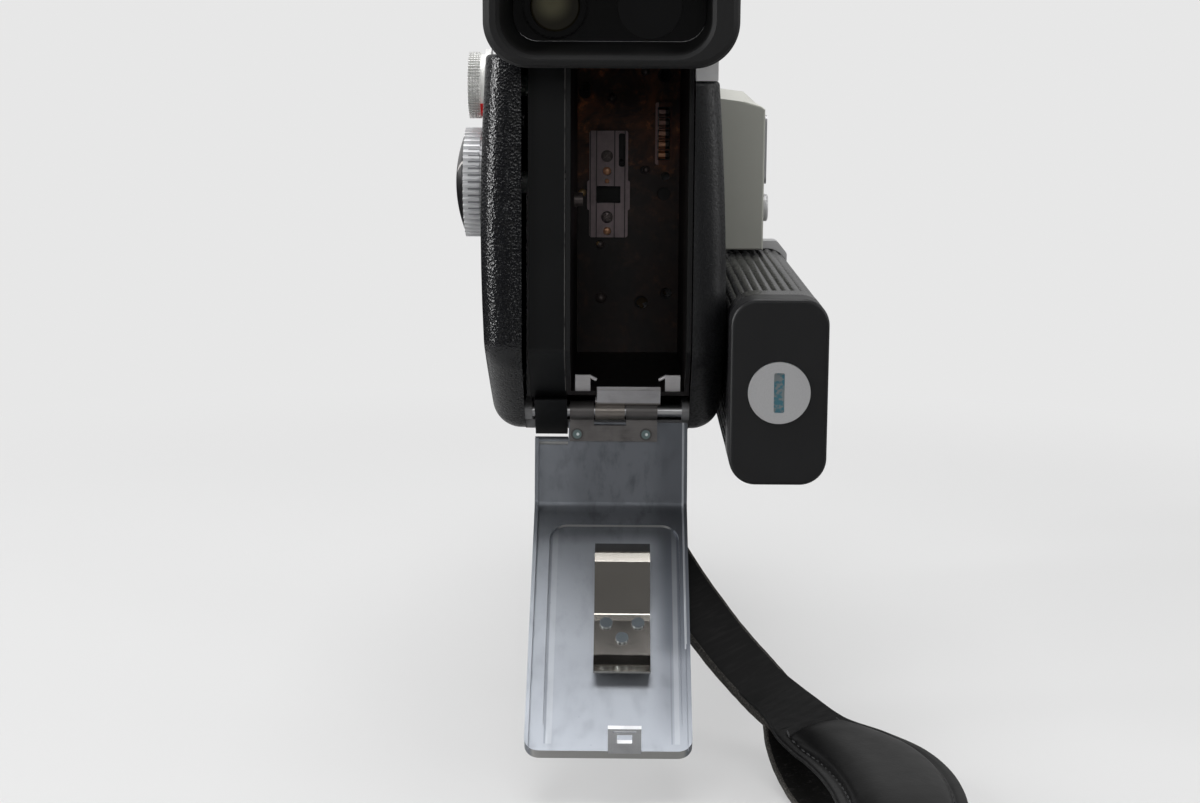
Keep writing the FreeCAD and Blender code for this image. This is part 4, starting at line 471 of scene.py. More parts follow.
door = {"pale": (0.39, 0.415, 0.455), "dark": (0.31, 0.33, 0.365), "stain": (0.2, 0.215, 0.24),
        "shade": (0.13, 0.142, 0.165), "upper": (0.13, 0.139, 0.155), "light": (0.6, 0.62, 0.65),
        "end": (0.58, 0.575, 0.56), "endFacing": (0.0, -0.77, -0.64), "innerFacing": (0.0, -0.8, 0.6),
        "sideX": (9.0, 14.0), "sideZ": (-54.0, -42.0), "upperX": (-9.0, 4.0), "upperZ": (-21.5, -18.5),
        "lowZ": (-40.0, -36.0), "stepX": (17.04, 17.36), "stepY": -62.0, "trayZ": (-22.5, -16.5),
        "trayLow": -51.2, "walls": [(-11.2, -10.3), (14.7, 15.5)],
        "grooves": [(-11.7, -11.45), (13.95, 14.15)]}


@finish("door_metal")
def doorMetal(metal):
    # bare sheet, with painted shading and painted lit edges of its pressed form on the inner face, and its
    # end face painted pale and less metallic, as painted light
    cloud = metal.noise(0.05, 4, 0.55, warp=0.8)
    smear = metal.span(metal.noise(0.35, 5, 0.6, (1, 0.5, 0.5)), 0.45, 0.72)
    pits = metal.span(metal.cells(0.22), 0.03, 0.07, 1.0, 0.0)
    # painted light on the end face
    end = metal.span(metal.facing(door["endFacing"]), 0.75, 0.95)
    sheet = metal.mix(door["pale"], door["dark"], cloud * 0.6 + smear * 0.12)
    sheet = metal.mix(sheet, door["stain"], pits * 0.3 + smear * cloud * 0.15)
    x, y, z = metal.axes()
    inner = metal.facing(door["innerFacing"]) > 0.2
    side = inner * metal.span(x, *door["sideX"]) * metal.span(z, *door["sideZ"])
    sheet = metal.mix(sheet, door["shade"], side)
    # painted shade over the upper part of the inner face
    upper = inner * metal.span(z, *door["upperZ"])
    upper = upper * metal.span(x + cloud * 12, *door["upperX"], 0.55, 1.0)
    sheet = metal.mix(sheet, door["upper"], upper * (0.82 + smear * 0.18))
    sheet = metal.mix(sheet, door["dark"], inner * metal.span(z, *door["lowZ"], 0.5, 0.0))
    step = inner * metal.band(x, *door["stepX"], 0.08) * (y > door["stepY"])
    sheet = metal.mix(sheet, door["light"], step * 0.7)
    tray = inner * metal.span(z, *door["trayZ"], 1.0, 0.0) * (z > door["trayLow"])
    wall, groove = 0.0, 0.0
    for low, high in door["walls"]:
        wall = metal.band(x, low, high, 0.25) + wall
    for low, high in door["grooves"]:
        groove = metal.band(x, low, high, 0.12) + groove
    sheet = metal.mix(sheet, door["light"], tray * wall * 0.22)
    sheet = metal.mix(sheet, door["shade"], tray * groove * 0.4)
    metal.set({"Base Color": metal.mix(sheet, door["end"], end), "Metallic": 0.82 - end * 0.5,
               "Roughness": 0.36 + cloud * 0.1 + smear * 0.06})
    metal.bump(metal.noise(1.8, 3), 0.006)


# Finishes of the housings, grip and dials

housing = {"pale": (0.6, 0.605, 0.545), "dark": (0.53, 0.535, 0.48), "bevelLight": (0.8, 0.8, 0.74),
           "bevelFacing": (0.6, 0.0, 0.8)}


@finish("green_grey_paint", Metallic=0.1)
def greenGreyPaint(paint):
    # painted light: paler on the bevel that leans to the right
    cloud = paint.noise(0.07, 3)
    fleck = paint.noise(3.0, 2)
    # painted highlight on the faces that lean to the right and up
    bevelLight = paint.span(paint.facing(housing["bevelFacing"]), 0.55, 0.9)
    tone = paint.mix(housing["pale"], housing["dark"], cloud)
    paint.set({"Base Color": paint.mix(tone, housing["bevelLight"], bevelLight), "Roughness": 0.4 + fleck * 0.12})
    paint.bump(fleck, 0.012)


plastics = {
    "ribbed_plastic": {"colour": (0.01, 0.01, 0.011), "rough": 0.19, "depth": 0.008},
    "cap_plastic": {"colour": (0.0085, 0.0085, 0.0095), "rough": 0.36, "grain": 3.0, "depth": 0.01,
                    "dust": 0.5},
    "black_plastic": {"colour": (0.0032, 0.0032, 0.0036), "rough": 0.42, "gloss": 0.2},
    "black_ring": {"colour": (0.01, 0.01, 0.011), "rough": 0.3, "grain": 4.0, "depth": 0.008},
    "rubber": {"colour": (0.009, 0.009, 0.0095), "rough": 0.56, "grain": 3.4, "depth": 0.02, "dust": 0.35},
}
dustTone = (0.14, 0.14, 0.13)


def mouldedPlastic(plastic, colour, rough, grain=2.4, depth=0.014, dust=0.0, gloss=0.5):
    # a fine skin of grain, clouded and on some pieces dusty
    cloud = plastic.noise(0.1, 3)
    skin = plastic.noise(grain, 3)
    pale = tuple(c * 1.5 + 0.002 for c in colour)
    base = plastic.mix(colour, pale, cloud * 0.7)
    if dust:
        base = plastic.mix(base, dustTone, plastic.dust(dust))
    plastic.set({"Base Color": base, "Specular IOR Level": gloss,
                 "Roughness": rough + cloud * 0.1 + skin * 0.06})
    plastic.bump(skin, depth)


finishAll(mouldedPlastic, plastics)

cell = {"blue": (0.03, 0.07, 0.16), "gold": (0.5, 0.36, 0.16), "goldY": (20.0, 20.6)}


@finish("cell_wrap", Roughness=0.3)
def cellWrap(wrap):
    gold = wrap.span(wrap.axes()[1], *cell["goldY"])
    wrap.set({"Base Color": wrap.mix(cell["blue"], cell["gold"], gold), "Metallic": gold * 0.8})


coin = {"axis": (36.15, 15.6), "face": -54.0, "floorBack": -50.0, "pale": (0.8, 0.8, 0.81),
        "dark": (0.66, 0.66, 0.67), "floor": (0.42, 0.46, 0.47), "blue": (0.14, 0.36, 0.45)}


@finish("satin_aluminium")
def satinAluminium(metal):
    # turned face, with blue left in the floor of the coin slot
    y = metal.axes()[1]
    turned = metal.node("ShaderNodeTexNoise", {"noise_dimensions": "1D"},
                        {"W": metal.away(coin["axis"]), "Scale": 5.0, "Detail": 2.0})
    grain = metal.noise(2.4, 3)
    floor = metal.span(y, coin["face"], coin["face"] + 0.25) * (y < coin["floorBack"])
    blue = metal.mix(coin["floor"], coin["blue"], metal.span(metal.noise(0.8, 3), 0.45, 0.6))
    face = metal.mix(coin["pale"], coin["dark"], grain * 0.6 + turned * 0.4)
    metal.set({"Base Color": metal.mix(face, blue, floor), "Metallic": 0.55,
               "Roughness": 0.46 + turned * 0.08})
    metal.bump(turned, 0.006)


dialGap = {"x": -18.3, "tone": (0.004, 0.004, 0.004)}
upperDial = {"z": 77.4, "pitch": 0.6, "teeth": 62, "knurlEnd": -29.0, "ringCut": (0.02, 0.13),
             "toothCut": (0.004, 0.02), "pale": (0.97, 0.97, 0.95), "dark": (0.66, 0.66, 0.64),
             "red": (0.95, 0.006, 0.005), "redTop": 73.4}


@finish("knurled_chrome")
def knurledChrome(metal):
    # a cross-cut knurl, a smooth rim beside the shell and a red index on the rim
    x, y, z = metal.axes()
    turn = x.sum("ARCTAN2", z - upperDial["z"], y)
    rings = x.sum("PINGPONG", x, upperDial["pitch"] / 2)
    teeth = x.sum("PINGPONG", turn, math.pi / upperDial["teeth"])
    peak = metal.span(rings, *upperDial["ringCut"]) * metal.span(teeth, *upperDial["toothCut"])
    knurl = x < upperDial["knurlEnd"]
    height = 1 - knurl * (1 - peak)
    grime = metal.noise(0.5, 4)
    mark = (x > upperDial["knurlEnd"]) * (z < upperDial["redTop"]) * (y < 0.0)
    tone = metal.mix(upperDial["dark"], upperDial["pale"], height * (0.75 + grime * 0.4))
    tone = metal.mix(tone, dialGap["tone"], x > dialGap["x"])
    metal.set({"Base Color": metal.mix(tone, upperDial["red"], mark), "Metallic": 0.2 - mark * 0.2,
               "Roughness": 0.34 + grime * 0.1})
    metal.bump(height, 0.1)


lowerDial = {"z": 55.3, "ribs": 48, "ribX": (-31.5, -26.6), "lineFrom": 0.024, "lineTo": 0.008,
             "pale": (0.95, 0.95, 0.96), "dark": (0.8, 0.81, 0.83), "line": (0.25, 0.255, 0.27),
             "capBlack": (0.01, 0.01, 0.011), "capCloud": (0.016, 0.016, 0.018), "mark": (0.78, 0.74, 0.72),
             "markAngle": 2.666, "markHalf": 0.32, "markFrom": 6.5}


@finish("ribbed_chrome")
def ribbedChrome(metal):
    # moulded ribs with fine dark lines between them
    x, y, z = metal.axes()
    halfRib = math.pi / lowerDial["ribs"]
    teeth = x.sum("PINGPONG", x.sum("ARCTAN2", z - lowerDial["z"], y), halfRib)
    line = metal.span(teeth, halfRib - lowerDial["lineFrom"], halfRib - lowerDial["lineTo"])
    line = line * metal.within(x, *lowerDial["ribX"])
    cloud = metal.noise(0.5, 3)
    tone = metal.mix(lowerDial["pale"], lowerDial["dark"], cloud)
    tone = metal.mix(tone, lowerDial["line"], line * 0.9)
    metal.set({"Base Color": metal.mix(tone, dialGap["tone"], x > dialGap["x"]), "Metallic": 0.25,
               "Roughness": 0.36 + cloud * 0.08})
    metal.bump(1 - line, 0.08)


@finish("dial_black", Coat_Weight=0.4, Coat_Roughness=0.15)
def dialBlack(paint):
    # glossy cap with one pale index line out to its edge
    _, y, z = paint.axes()
    rise = z - lowerDial["z"]
    dy, dz = math.cos(lowerDial["markAngle"]), math.sin(lowerDial["markAngle"])
    along = y * dy + rise * dz
    away = abs(y * dz - rise * dy)
    mark = (along > lowerDial["markFrom"]) * (away < lowerDial["markHalf"])
    cloud = paint.noise(0.5, 3)
    black = paint.mix(lowerDial["capBlack"], lowerDial["capCloud"], cloud)
    paint.set({"Base Color": paint.mix(black, lowerDial["mark"], mark), "Roughness": 0.24 + cloud * 0.12})
    paint.bump(paint.noise(2.0, 2), 0.006)


# Glass of the finder and the lens

glasses = {
    "amber_glass": {"colour": (0.36, 0.335, 0.2), "rim": (0.05, 0.042, 0.022), "axis": (-11.2, 95.0),
                    "reach": 4.6},
    "dark_glass": {"colour": (0.006, 0.006, 0.008), "rim": (0.003, 0.003, 0.004), "axis": (8.6, 94.2),
                   "reach": 6.5},
    "clear_glass": {"colour": (0.035, 0.03, 0.06), "rim": (0.012, 0.012, 0.02), "axis": (0.0, 50.8),
                    "reach": 17.0, "rough": 0.03, "metallic": 0.4},
}


def coatedGlass(glass, colour, rim, axis, reach, rough=0.04, metallic=0.2):
    # darker towards the rim
    share = glass.span(glass.away(axis), reach * 0.2, reach)
    glass.set({"Base Color": glass.mix(colour, rim, share), "Roughness": rough, "Metallic": metallic,
               "Coat Weight": 1.0, "Coat Roughness": 0.03})


finishAll(coatedGlass, glasses)


# Leather

strapSkin = {"black": (0.0036, 0.0035, 0.0034), "cloudy": (0.0066, 0.0064, 0.0062),
             "hair": (0.06, 0.058, 0.056), "edge": (0.016, 0.0145, 0.013), "fibre": (0.13, 0.12, 0.105)}


def strapLeather():
    # the flesh side: dull, with fine pale hairs that lie across the band
    leather = Finish("strap_suede_finish", Specular_IOR_Level=0.12)
    hairs = leather.span(leather.noise(1.5, 5, 0.7, (0.5, 0.5, 2.5), 1.2), 0.52, 0.74)
    nap = leather.noise(3.2, 3)
    cloud = leather.noise(0.14, 3)
    base = leather.mix(strapSkin["black"], strapSkin["cloudy"], cloud)
    leather.set({"Base Color": leather.mix(base, strapSkin["hair"], hairs * 0.6 + nap * 0.1),
                 "Roughness": 0.62 + nap * 0.2})
    leather.bump(nap * 0.6 + hairs * 0.4, 0.05)
    return leather


def strapEdge():
    # the raw cut edge, greyer and rough
    leather = Finish("strap_edge_finish")
    fibre = leather.noise(2.6, 5, 0.7)
    pale = leather.span(fibre, 0.4, 0.75)
    leather.set({"Base Color": leather.mix(strapSkin["edge"], strapSkin["fibre"], pale), "Roughness": 0.7})
    leather.bump(fibre, 0.12)
    return leather


padSkin = {"black": (0.002, 0.002, 0.0022), "paler": (0.009, 0.0088, 0.0088), "neckY": (-74.0, -68.0),
           "along": (0.52, -0.8, -0.3), "across": (0.85, 0.5, 0.1)}


def padLeather():
    # smooth finished leather with a fine grain, still rough on its neck
    leather = Finish("pad_leather_finish", Specular_IOR_Level=0.24)
    neck = leather.span(leather.axes()[1], *padSkin["neckY"])
    pebble = leather.cells(1.5, "SMOOTH_F1")
    crease = leather.noise(0.3, 4, 0.55)
    nap = leather.noise(3.2, 3)
    run, side = leather.along(padSkin["along"]), leather.along(padSkin["across"])
    flow = leather.node("ShaderNodeCombineXYZ", values={0: run * 1.5, 1: side * 0.16})
    fold = leather.node("ShaderNodeTexNoise", values={"Vector": flow, "Scale": 1.0, "Detail": 3.0,
                                                      "Distortion": 0.4})
    paler = crease * 0.3 + neck * (leather.span(fold, 0.45, 0.75) * 0.8 + nap * 0.2)
    leather.set({"Base Color": leather.mix(padSkin["black"], padSkin["paler"], paler),
                 "Roughness": 0.35 + crease * 0.12 + neck * 0.2})
    leather.bump(pebble * 0.2 + crease * 0.2 + neck * (fold + nap * 0.3), 0.06)
    return leather


def sewingThread():
    thread = Finish("thread_finish", Roughness=0.6)
    twist = thread.noise(3.0, 2)
    thread.set({"Base Color": thread.mix((0.012, 0.012, 0.013), (0.04, 0.04, 0.042), twist)})
    thread.bump(twist, 0.03)
    return thread


suede, rawEdge, smoothHide, thread = strapLeather(), strapEdge(), padLeather(), sewingThread()
finishes["strap_leather"], finishes["pad_leather"] = suede.material, smoothHide.material
print("finishes made:", len(finishes))

# every carried-over solid gets the finish of its own slot
for piece in frame["nodes"].values():
    piece.data.materials[0] = finishes[piece.data.materials[0].name.split(".")[0]]
print("nodes dressed")


# Mesh helpers

def link(name, data):
    made = bpy.data.objects.new(name, data)
    bpy.context.scene.collection.objects.link(made)
    return made


def addMesh(name, points, faces, materials, faceMaterials=None):
    mesh = bpy.data.meshes.new(name)
    mesh.from_pydata([tuple(p) for p in points], [], faces)
    for material in materials:
        mesh.materials.append(material)
    for index, face in enumerate(mesh.polygons):
        face.use_smooth = True
        face.material_index = faceMaterials[index] if faceMaterials else 0
    mesh.validate()
    return link(name, mesh)


def throughPoints(values, steps):
    # a smooth run through a list of vectors, with the same number of steps in each gap
    run = []
    for i in range(len(values) - 1):
        before = values[max(i - 1, 0)]
        first, second = values[i], values[i + 1]
        after = values[min(i + 2, len(values) - 1)]
        for step in range(steps):
            t = step / steps
            run.append(0.5 * (2 * first + (second - before) * t
                              + (2 * before - 5 * first + 4 * second - after) * t * t
                              + (3 * first - before - 3 * second + after) * t * t * t))
    run.append(values[-1])
    return run


def bandFrames(stations, steps):
    # place, tangent, width direction and face direction at each step along a strap
    places = throughPoints([Vector(place) * mm for place, _ in stations], steps)
    widths = throughPoints([Vector(width).normalized() for _, width in stations], steps)
    frames = []
    for i, place in enumerate(places):
        along = (places[min(i + 1, len(places) - 1)] - places[max(i - 1, 0)]).normalized()
        across = (widths[i] - along * widths[i].dot(along)).normalized()
        frames.append((place, along, across, across.cross(along)))
    return frames


def tubeFaces(faces, start, rows, around):
    # a tube of rows of points that close round, capped at both ends
    for i in range(rows - 1):
        for j in range(around):
            a, b = start + i * around + j, start + i * around + (j + 1) % around
            faces.append((a, b, b + around, a + around))
    faces.append(tuple(range(start + around - 1, start - 1, -1)))
    faces.append(tuple(range(start + (rows - 1) * around, start + rows * around)))


# Small turned heads on the gate plate: cross-slot screws and plain pins

gateHeads = {
    "gate_screw_heads": {"slot": "dark_screw", "cross": 0.17, "y": 24.7,
                         "heads": [(-0.42, 60.14, 1.42, 0.42), (-0.34, 45.35, 1.42, 0.42)]},
    "gate_pin_heads": {"slot": "copper", "cross": 0.0, "y": 24.7,
                       "heads": [(-0.4, 56.5, 1.0, 0.4), (-0.36, 54.1, 0.55, 0.35),
                                 (-0.32, 41.95, 0.95, 0.35)]},
    "stop_pin_head": {"slot": "brass", "cross": 0.0, "y": 25.9,
                      "heads": [(-2.25, 38.74, 0.8, 0.9), (-6.4, 51.2, 1.0, 1.0)]},
}
headShape = {"rings": 14, "around": 56, "dome": 2.6, "slotReach": 0.8, "slotDepth": 0.32, "sunk": 0.2}


def addHead(points, faces, head, y, cross):
    # a domed head that looks back along Y, with a cross slot where cross is its half width
    headX, headZ, reach, rise = head
    rings, around = headShape["rings"], headShape["around"]
    start = len(points)
    for i in range(rings + 1):
        share = i / rings
        for j in range(around):
            angle = 2 * math.pi * j / around
            across, up = reach * share * math.cos(angle), reach * share * math.sin(angle)
            height = rise * math.sqrt(max(0.0, 1 - share ** headShape["dome"]))
            turned, tilted = abs(across + up) * 0.707, abs(across - up) * 0.707
            if share < headShape["slotReach"] and min(turned, tilted) < cross:
                height -= headShape["slotDepth"]
            points.append(Vector((headX + across, y - height, headZ + up)) * mm)
    for j in range(around):
        angle = 2 * math.pi * j / around
        across, up = reach * math.cos(angle), reach * math.sin(angle)
        points.append(Vector((headX + across, y + headShape["sunk"], headZ + up)) * mm)
    for i in range(1, rings + 2):
        for j in range(around):
            a, b = start + i * around + j, start + i * around + (j + 1) % around
            if i == 1:
                faces.append((start, a, b))
            else:
                faces.append((a - around, a, b, b - around))
    last = start + (rings + 1) * around
    faces.append(tuple(range(last, last + around)))


def makeGateHeads():
    for name, group in gateHeads.items():
        points, faces = [], []
        for head in group["heads"]:
            addHead(points, faces, head, group["y"], group["cross"])
        made = addMesh(name, points, faces, [finishes[group["slot"]]])
        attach(made, "camera_body")


makeGateHeads()
print("gate heads made")


# Wrist strap

strap = {
    "width": 11.6, "thickness": 1.6, "round": 0.5, "steps": 8,
    "hang": [((6, -21.2, -7.5), (1, 0, 0)), ((6.6, -22.4, -11.5), (0.98, 0.1, 0.1)),
             ((8.6, -27, -18), (0.9, 0.3, 0.2)), ((12.2, -34, -23.6), (0.76, 0.5, 0.34)),
             ((17, -42.8, -29.4), (0.64, 0.6, 0.44)),
             ((22.4, -49.8, -35.4), (0.62, 0.6, 0.48)), ((26.8, -53.6, -40.2), (0.68, 0.55, 0.46)),
             ((31.2, -57, -44.4), (0.76, 0.5, 0.4)), ((35.2, -60.6, -48), (0.8, 0.5, 0.3)),
             ((38.4, -64.4, -50.8), (0.83, 0.52, 0.18))],
    "loop": [((42.2, -70.4, -53.2), (0.85, 0.52, 0.04)), ((46.4, -77, -54.1), (0.88, 0.47, 0)),
             ((50, -84.8, -54), (0.92, 0.38, 0)), ((52.6, -94.2, -53.6), (0.97, 0.24, 0)),
             ((54.2, -104.6, -53.1), (0.99, 0.12, 0)), ((54.7, -115, -52.8), (1, 0.03, 0)),
             ((54.4, -125, -53.1), (1, -0.03, 0)), ((53.8, -133.6, -54), (1, -0.06, 0)),
             ((53, -140.6, -55.2), (1, -0.06, 0)), ((52.4, -144.6, -56.8), (1, -0.04, 0)),
             ((52, -145.8, -59), (1, -0.04, 0)), ((51.8, -143.8, -61), (1, -0.03, 0)),
             ((51.5, -138, -61.8), (1, 0, 0)), ((50.4, -124, -61.8), (1, 0.08, 0)),
             ((48.2, -108, -61.8), (0.98, 0.14, 0)),
             ((45.6, -94, -61.8), (0.97, 0.2, 0)), ((42.8, -81.5, -61.4), (0.95, 0.28, 0)),
             ((40.4, -72.4, -58.8), (0.9, 0.4, 0.05)), ((39, -67.6, -55.4), (0.86, 0.48, 0.12))],
    "lug": (6, -21, -3.3), "fold": 2.0, "foldSteps": 5, "layerGap": 0.52,
    "seed": 11, "cutEdge": (-0.14, 0.1), "uneven": (-0.03, 0.03), "cup": 0.16,
}


def bandSection(width, thickness, rounding, parts=7):
    # the outline of a cut strap, as (across, up, part) with part 0 inner, 1 edge, 2 outer
    half, rise = width / 2, thickness / 2
    flat = half - rounding
    points = []
    for turn, part in ((1, 0), (-1, 2)):
        points += [(turn * (2 * flat * i / parts - flat), -turn * rise, part) for i in range(parts)]
        for i in range(4):
            across = flat + rounding * math.cos(math.pi / 6 * i - math.pi / 2)
            up = rounding - rise + rounding * math.sin(math.pi / 6 * i - math.pi / 2)
            points.append((turn * across, turn * up, 1))
        points.append((turn * half, turn * (rise - rounding), 1))
    return points


def strapStations():
    # one closed band: down the front layer, round the loop, up the back layer and over the lug
    half = strap["thickness"] * strap["layerGap"]
    front, back = [], []
    for (place, _, _, face), (_, width) in zip(bandFrames(strap["hang"], 1), strap["hang"]):
        front.append((tuple((place + face * half * mm) / mm), width))
        back.append((tuple((place - face * half * mm) / mm), width))
    if front[-1][0][2] < back[-1][0][2]:
        front, back = back, front
    x, y, z = strap["lug"]
    reach, over = strap["fold"], []
    for step in range(strap["foldSteps"]):
        angle = math.pi * (0.02 + 0.96 * step / (strap["foldSteps"] - 1))
        over.append(((x, y + reach * math.cos(angle), z + reach * math.sin(angle)), (1, 0, 0)))
    return over, front + strap["loop"] + back[::-1]


def makeStrap():
    random.seed(strap["seed"])
    over, run = strapStations()
    frames = bandFrames(over + run + [over[0]], strap["steps"])[:-1]
    section = bandSection(strap["width"], strap["thickness"], strap["round"])
    points, faces, parts = [], [], []
    for place, _, across, face in frames:
        for side, rise, part in section:
            rough = random.uniform(*(strap["cutEdge"] if part == 1 else strap["uneven"]))
            cup = strap["cup"] * (side / strap["width"] * 2) ** 2
            side += math.copysign(rough, side)
            points.append(place + across * side * mm + face * (rise + cup) * mm)
    ring, count = len(section), len(frames)
    for i in range(count):
        for j in range(ring):
            a, b = i * ring + j, i * ring + (j + 1) % ring
            c, d = ((i + 1) % count) * ring + (j + 1) % ring, ((i + 1) % count) * ring + j
            faces.append((a, b, c, d))
            parts.append(section[j][2])
    skins = [leather.material for leather in (smoothHide, rawEdge, suede)]
    band = addMesh("strap_band", points, faces, skins, parts)
    smoother = band.modifiers.new("smoother", "SUBSURF")
    smoother.levels = smoother.render_levels = 1
    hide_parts("wrist_strap")
    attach(band, "camera_body")


makeStrap()
print("strap made")


# Padded leaf of the strap

pad = {"widths": [10.8, 11.3, 13.2, 18.4, 24.0, 26.0, 26.2, 25.4, 24.0, 20.8, 13.8],
       "shifts": [0.0, 0.0, 0.3, 1.1, 2.2, 2.5, 2.2, 1.6, 1.0, 0.5, 0.2], "steps": 16, "lead": 3,
       "rows": 190, "columns": 44, "crowding": 1.35, "underColumns": 12, "under": 0.5, "underRun": (8, 16),
       "height": 3.7, "rim": 1.1, "rimRun": 9, "cutRound": 0.5, "margin": 2.7, "groove": 0.45,
       "grooveHalf": 0.55, "grooveRun": 5, "gap": 0.15, "sink": 0.7, "sinkRun": 13, "domeFrom": 18.5,
       "domeTo": 7.0, "bow": 3.5, "rise": 8.2, "wrinkle": 0.2, "neck": (5, 12), "stitch": 1.9, "pitch": 2.7,
       "threadWidth": 0.5, "threadLift": 0.1}


def smoothStep(low, high, value):
    t = min(1.0, max(0.0, (value - low) / (high - low)))
    return t * t * (3 - 2 * t)


class PadShape:
    # the padded leaf of leather, by its distance along and across the strap
    def __init__(self):
        start = len(strap["hang"]) - pad["lead"]
        stations = strapStations()[1][start:start + len(pad["widths"])]
        self.frames = bandFrames(stations, pad["steps"])
        widths = [Vector((width, shift, 0)) for width, shift in zip(pad["widths"], pad["shifts"])]
        run = throughPoints(widths, pad["steps"])
        self.halves = [width.x / 2 for width in run]
        self.shifts = [width.y for width in run]
        self.walked = [0.0]
        for first, second in zip(self.frames, self.frames[1:]):
            self.walked.append(self.walked[-1] + (second[0] - first[0]).length / mm)
        self.length = self.walked[-1]
        self.up = 1 if self.frames[0][3].z > 0 else -1

    def at(self, along):
        # the frame and the half width at a distance along
        i = 1
        while i < len(self.walked) - 1 and self.walked[i] < along:
            i += 1
        t = (along - self.walked[i - 1]) / (self.walked[i] - self.walked[i - 1])
        frame = [a.lerp(b, t) for a, b in zip(self.frames[i - 1], self.frames[i])]
        frame[0] = frame[0] + frame[2] * (self.shifts[i - 1] * (1 - t) + self.shifts[i] * t) * mm
        return frame, self.halves[i - 1] * (1 - t) + self.halves[i] * t

    def seamEdge(self, along, across):
        # how far inside the seam a point lies: below 0 on the flat margin
        half = self.at(along)[1]
        side = half - abs(across) - pad["margin"]
        lead = along - pad["domeFrom"] - pad["bow"] * (across / half) ** 2
        tail = (self.length - pad["domeTo"] - along) * 0.95
        ends = min(lead, tail)
        if side <= 0 or ends <= 0:
            return min(side, ends)
        return (side ** -4 + ends ** -4) ** -0.25

    def rise(self, along, across):
        # the flat margin with its cut edge, the sewn groove, then the stuffed dome
        half = self.at(along)[1]
        edge = max(0.0, half - abs(across))
        end = min(along, self.length - along)
        cut = math.sqrt(max(0.0, 1 - (1 - min(edge / pad["cutRound"], 1.0)) ** 2))
        flat = (pad["rim"] * (0.12 + 0.88 * smoothStep(0, pad["rimRun"], end)) * (0.3 + 0.7 * cut)
                - pad["sink"] * (1 - smoothStep(0, pad["sinkRun"], along)))
        inside = self.seamEdge(along, across)
        groove = pad["groove"] * math.exp(-(inside / pad["grooveHalf"]) ** 2)
        groove *= smoothStep(0, pad["grooveRun"], end)
        dome = max(0.0, 1 - (1 - min(max(inside, 0.0) / pad["rise"], 1.0)) ** 2) ** 0.6
        crease = math.sin(along * 3.1 + across * 0.5) * 0.6 + math.sin(along * 4.9 - across * 0.8) * 0.4
        neck = smoothStep(*pad["neck"], along)
        neck *= 1 - smoothStep(pad["domeFrom"] - 2, pad["domeFrom"] + 2, along)
        crease *= pad["wrinkle"] * neck * smoothStep(0.4, 2.5, edge)
        return flat - groove + crease + (pad["height"] - pad["rim"]) * dome

    def spot(self, along, across, rise):
        place, _, side, face = self.at(along)[0]
        lift = strap["thickness"] / 2 + pad["gap"]
        return place + side * across * mm + face * self.up * (lift + rise) * mm

    def seam(self, along, sign):
        # a point of the thread, on the left or the right seam
        across = sign * (self.at(along)[1] - pad["margin"])
        return self.spot(along, across, self.rise(along, across) + pad["threadLift"])


def makePad():
    shape = PadShape()
    points, faces = [], []
    for row in range(pad["rows"] + 1):
        along = shape.length * row / pad["rows"]
        half = shape.at(along)[1]
        for column in range(pad["columns"] + 1):
            lean = 1 - 2 * column / pad["columns"]
            across = -half * math.copysign(1 - (1 - abs(lean)) ** pad["crowding"], lean)
            points.append(shape.spot(along, across, shape.rise(along, across)))
        under = -(pad["under"] + pad["sink"]) * (1 - smoothStep(*pad["underRun"], along))
        for column in range(1, pad["underColumns"]):
            points.append(shape.spot(along, half * (1 - 2 * column / pad["underColumns"]), under))
    tubeFaces(faces, 0, pad["rows"] + 1, pad["columns"] + pad["underColumns"])
    cushion = addMesh("strap_cushion", points, faces, [smoothHide.material])
    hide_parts("strap_pad")
    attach(cushion, "camera_body")

    seam, faces = [], []
    along = pad["domeFrom"] + 1.0
    while along < shape.length - pad["domeTo"]:
        for sign in (-1, 1):
            middle, ahead = (shape.seam(spot, sign) for spot in (along, along + 0.5))
            addStitch(seam, faces, middle, (ahead - middle).normalized(), shape.at(along)[0][3] * shape.up)
        along += pad["pitch"]
    stitches = addMesh("strap_stitches", seam, faces, [thread.material])
    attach(stitches, "camera_body")


def addStitch(points, faces, middle, way, face):
    # one stitch: a short fat thread that dives into the leather at both ends
    side = way.cross(face).normalized()
    start = len(points)
    rings, around = 6, 8
    for i in range(rings + 1):
        t = -1 + 2 * i / rings
        swell = pad["threadWidth"] / 2 * math.sqrt(max(0.02, 1 - t * t))
        for j in range(around):
            angle = 2 * math.pi * j / around
            points.append(middle + way * t * pad["stitch"] / 2 * mm
                          + (side * math.cos(angle) + face * (math.sin(angle) - 0.5 * t * t)) * swell * mm)
    tubeFaces(faces, start, rings + 1, around)


makePad()
print("pad made")


# Camera at the photograph's angle

view = {"place": (3.05, -463.3, 85.74), "pitch": 10.0, "yaw": 0.57, "roll": 0.3, "lens": 60.0, "sensor": 36.0}


def makeCamera():
    pitch, yaw, roll = (math.radians(view[name]) for name in ("pitch", "yaw", "roll"))
    forward = Vector((-math.sin(yaw) * math.cos(pitch), math.cos(yaw) * math.cos(pitch), -math.sin(pitch)))
    level = Vector((math.cos(yaw), math.sin(yaw), 0))
    upright = level.cross(forward)
    right = level * math.cos(roll) + upright * math.sin(roll)
    up = upright * math.cos(roll) - level * math.sin(roll)
    data = bpy.data.cameras.new("photo_camera")
    data.lens, data.sensor_width = view["lens"], view["sensor"]
    data.clip_start = 0.01
    camera = link("photo_camera", data)
    turned = Matrix((right, up, -forward)).transposed().to_4x4()
    camera.matrix_world = Matrix.Translation(Vector(view["place"]) * mm) @ turned
    bpy.context.scene.camera = camera


makeCamera()


# Studio: a pale table under soft lamps, with a dim room behind the camera

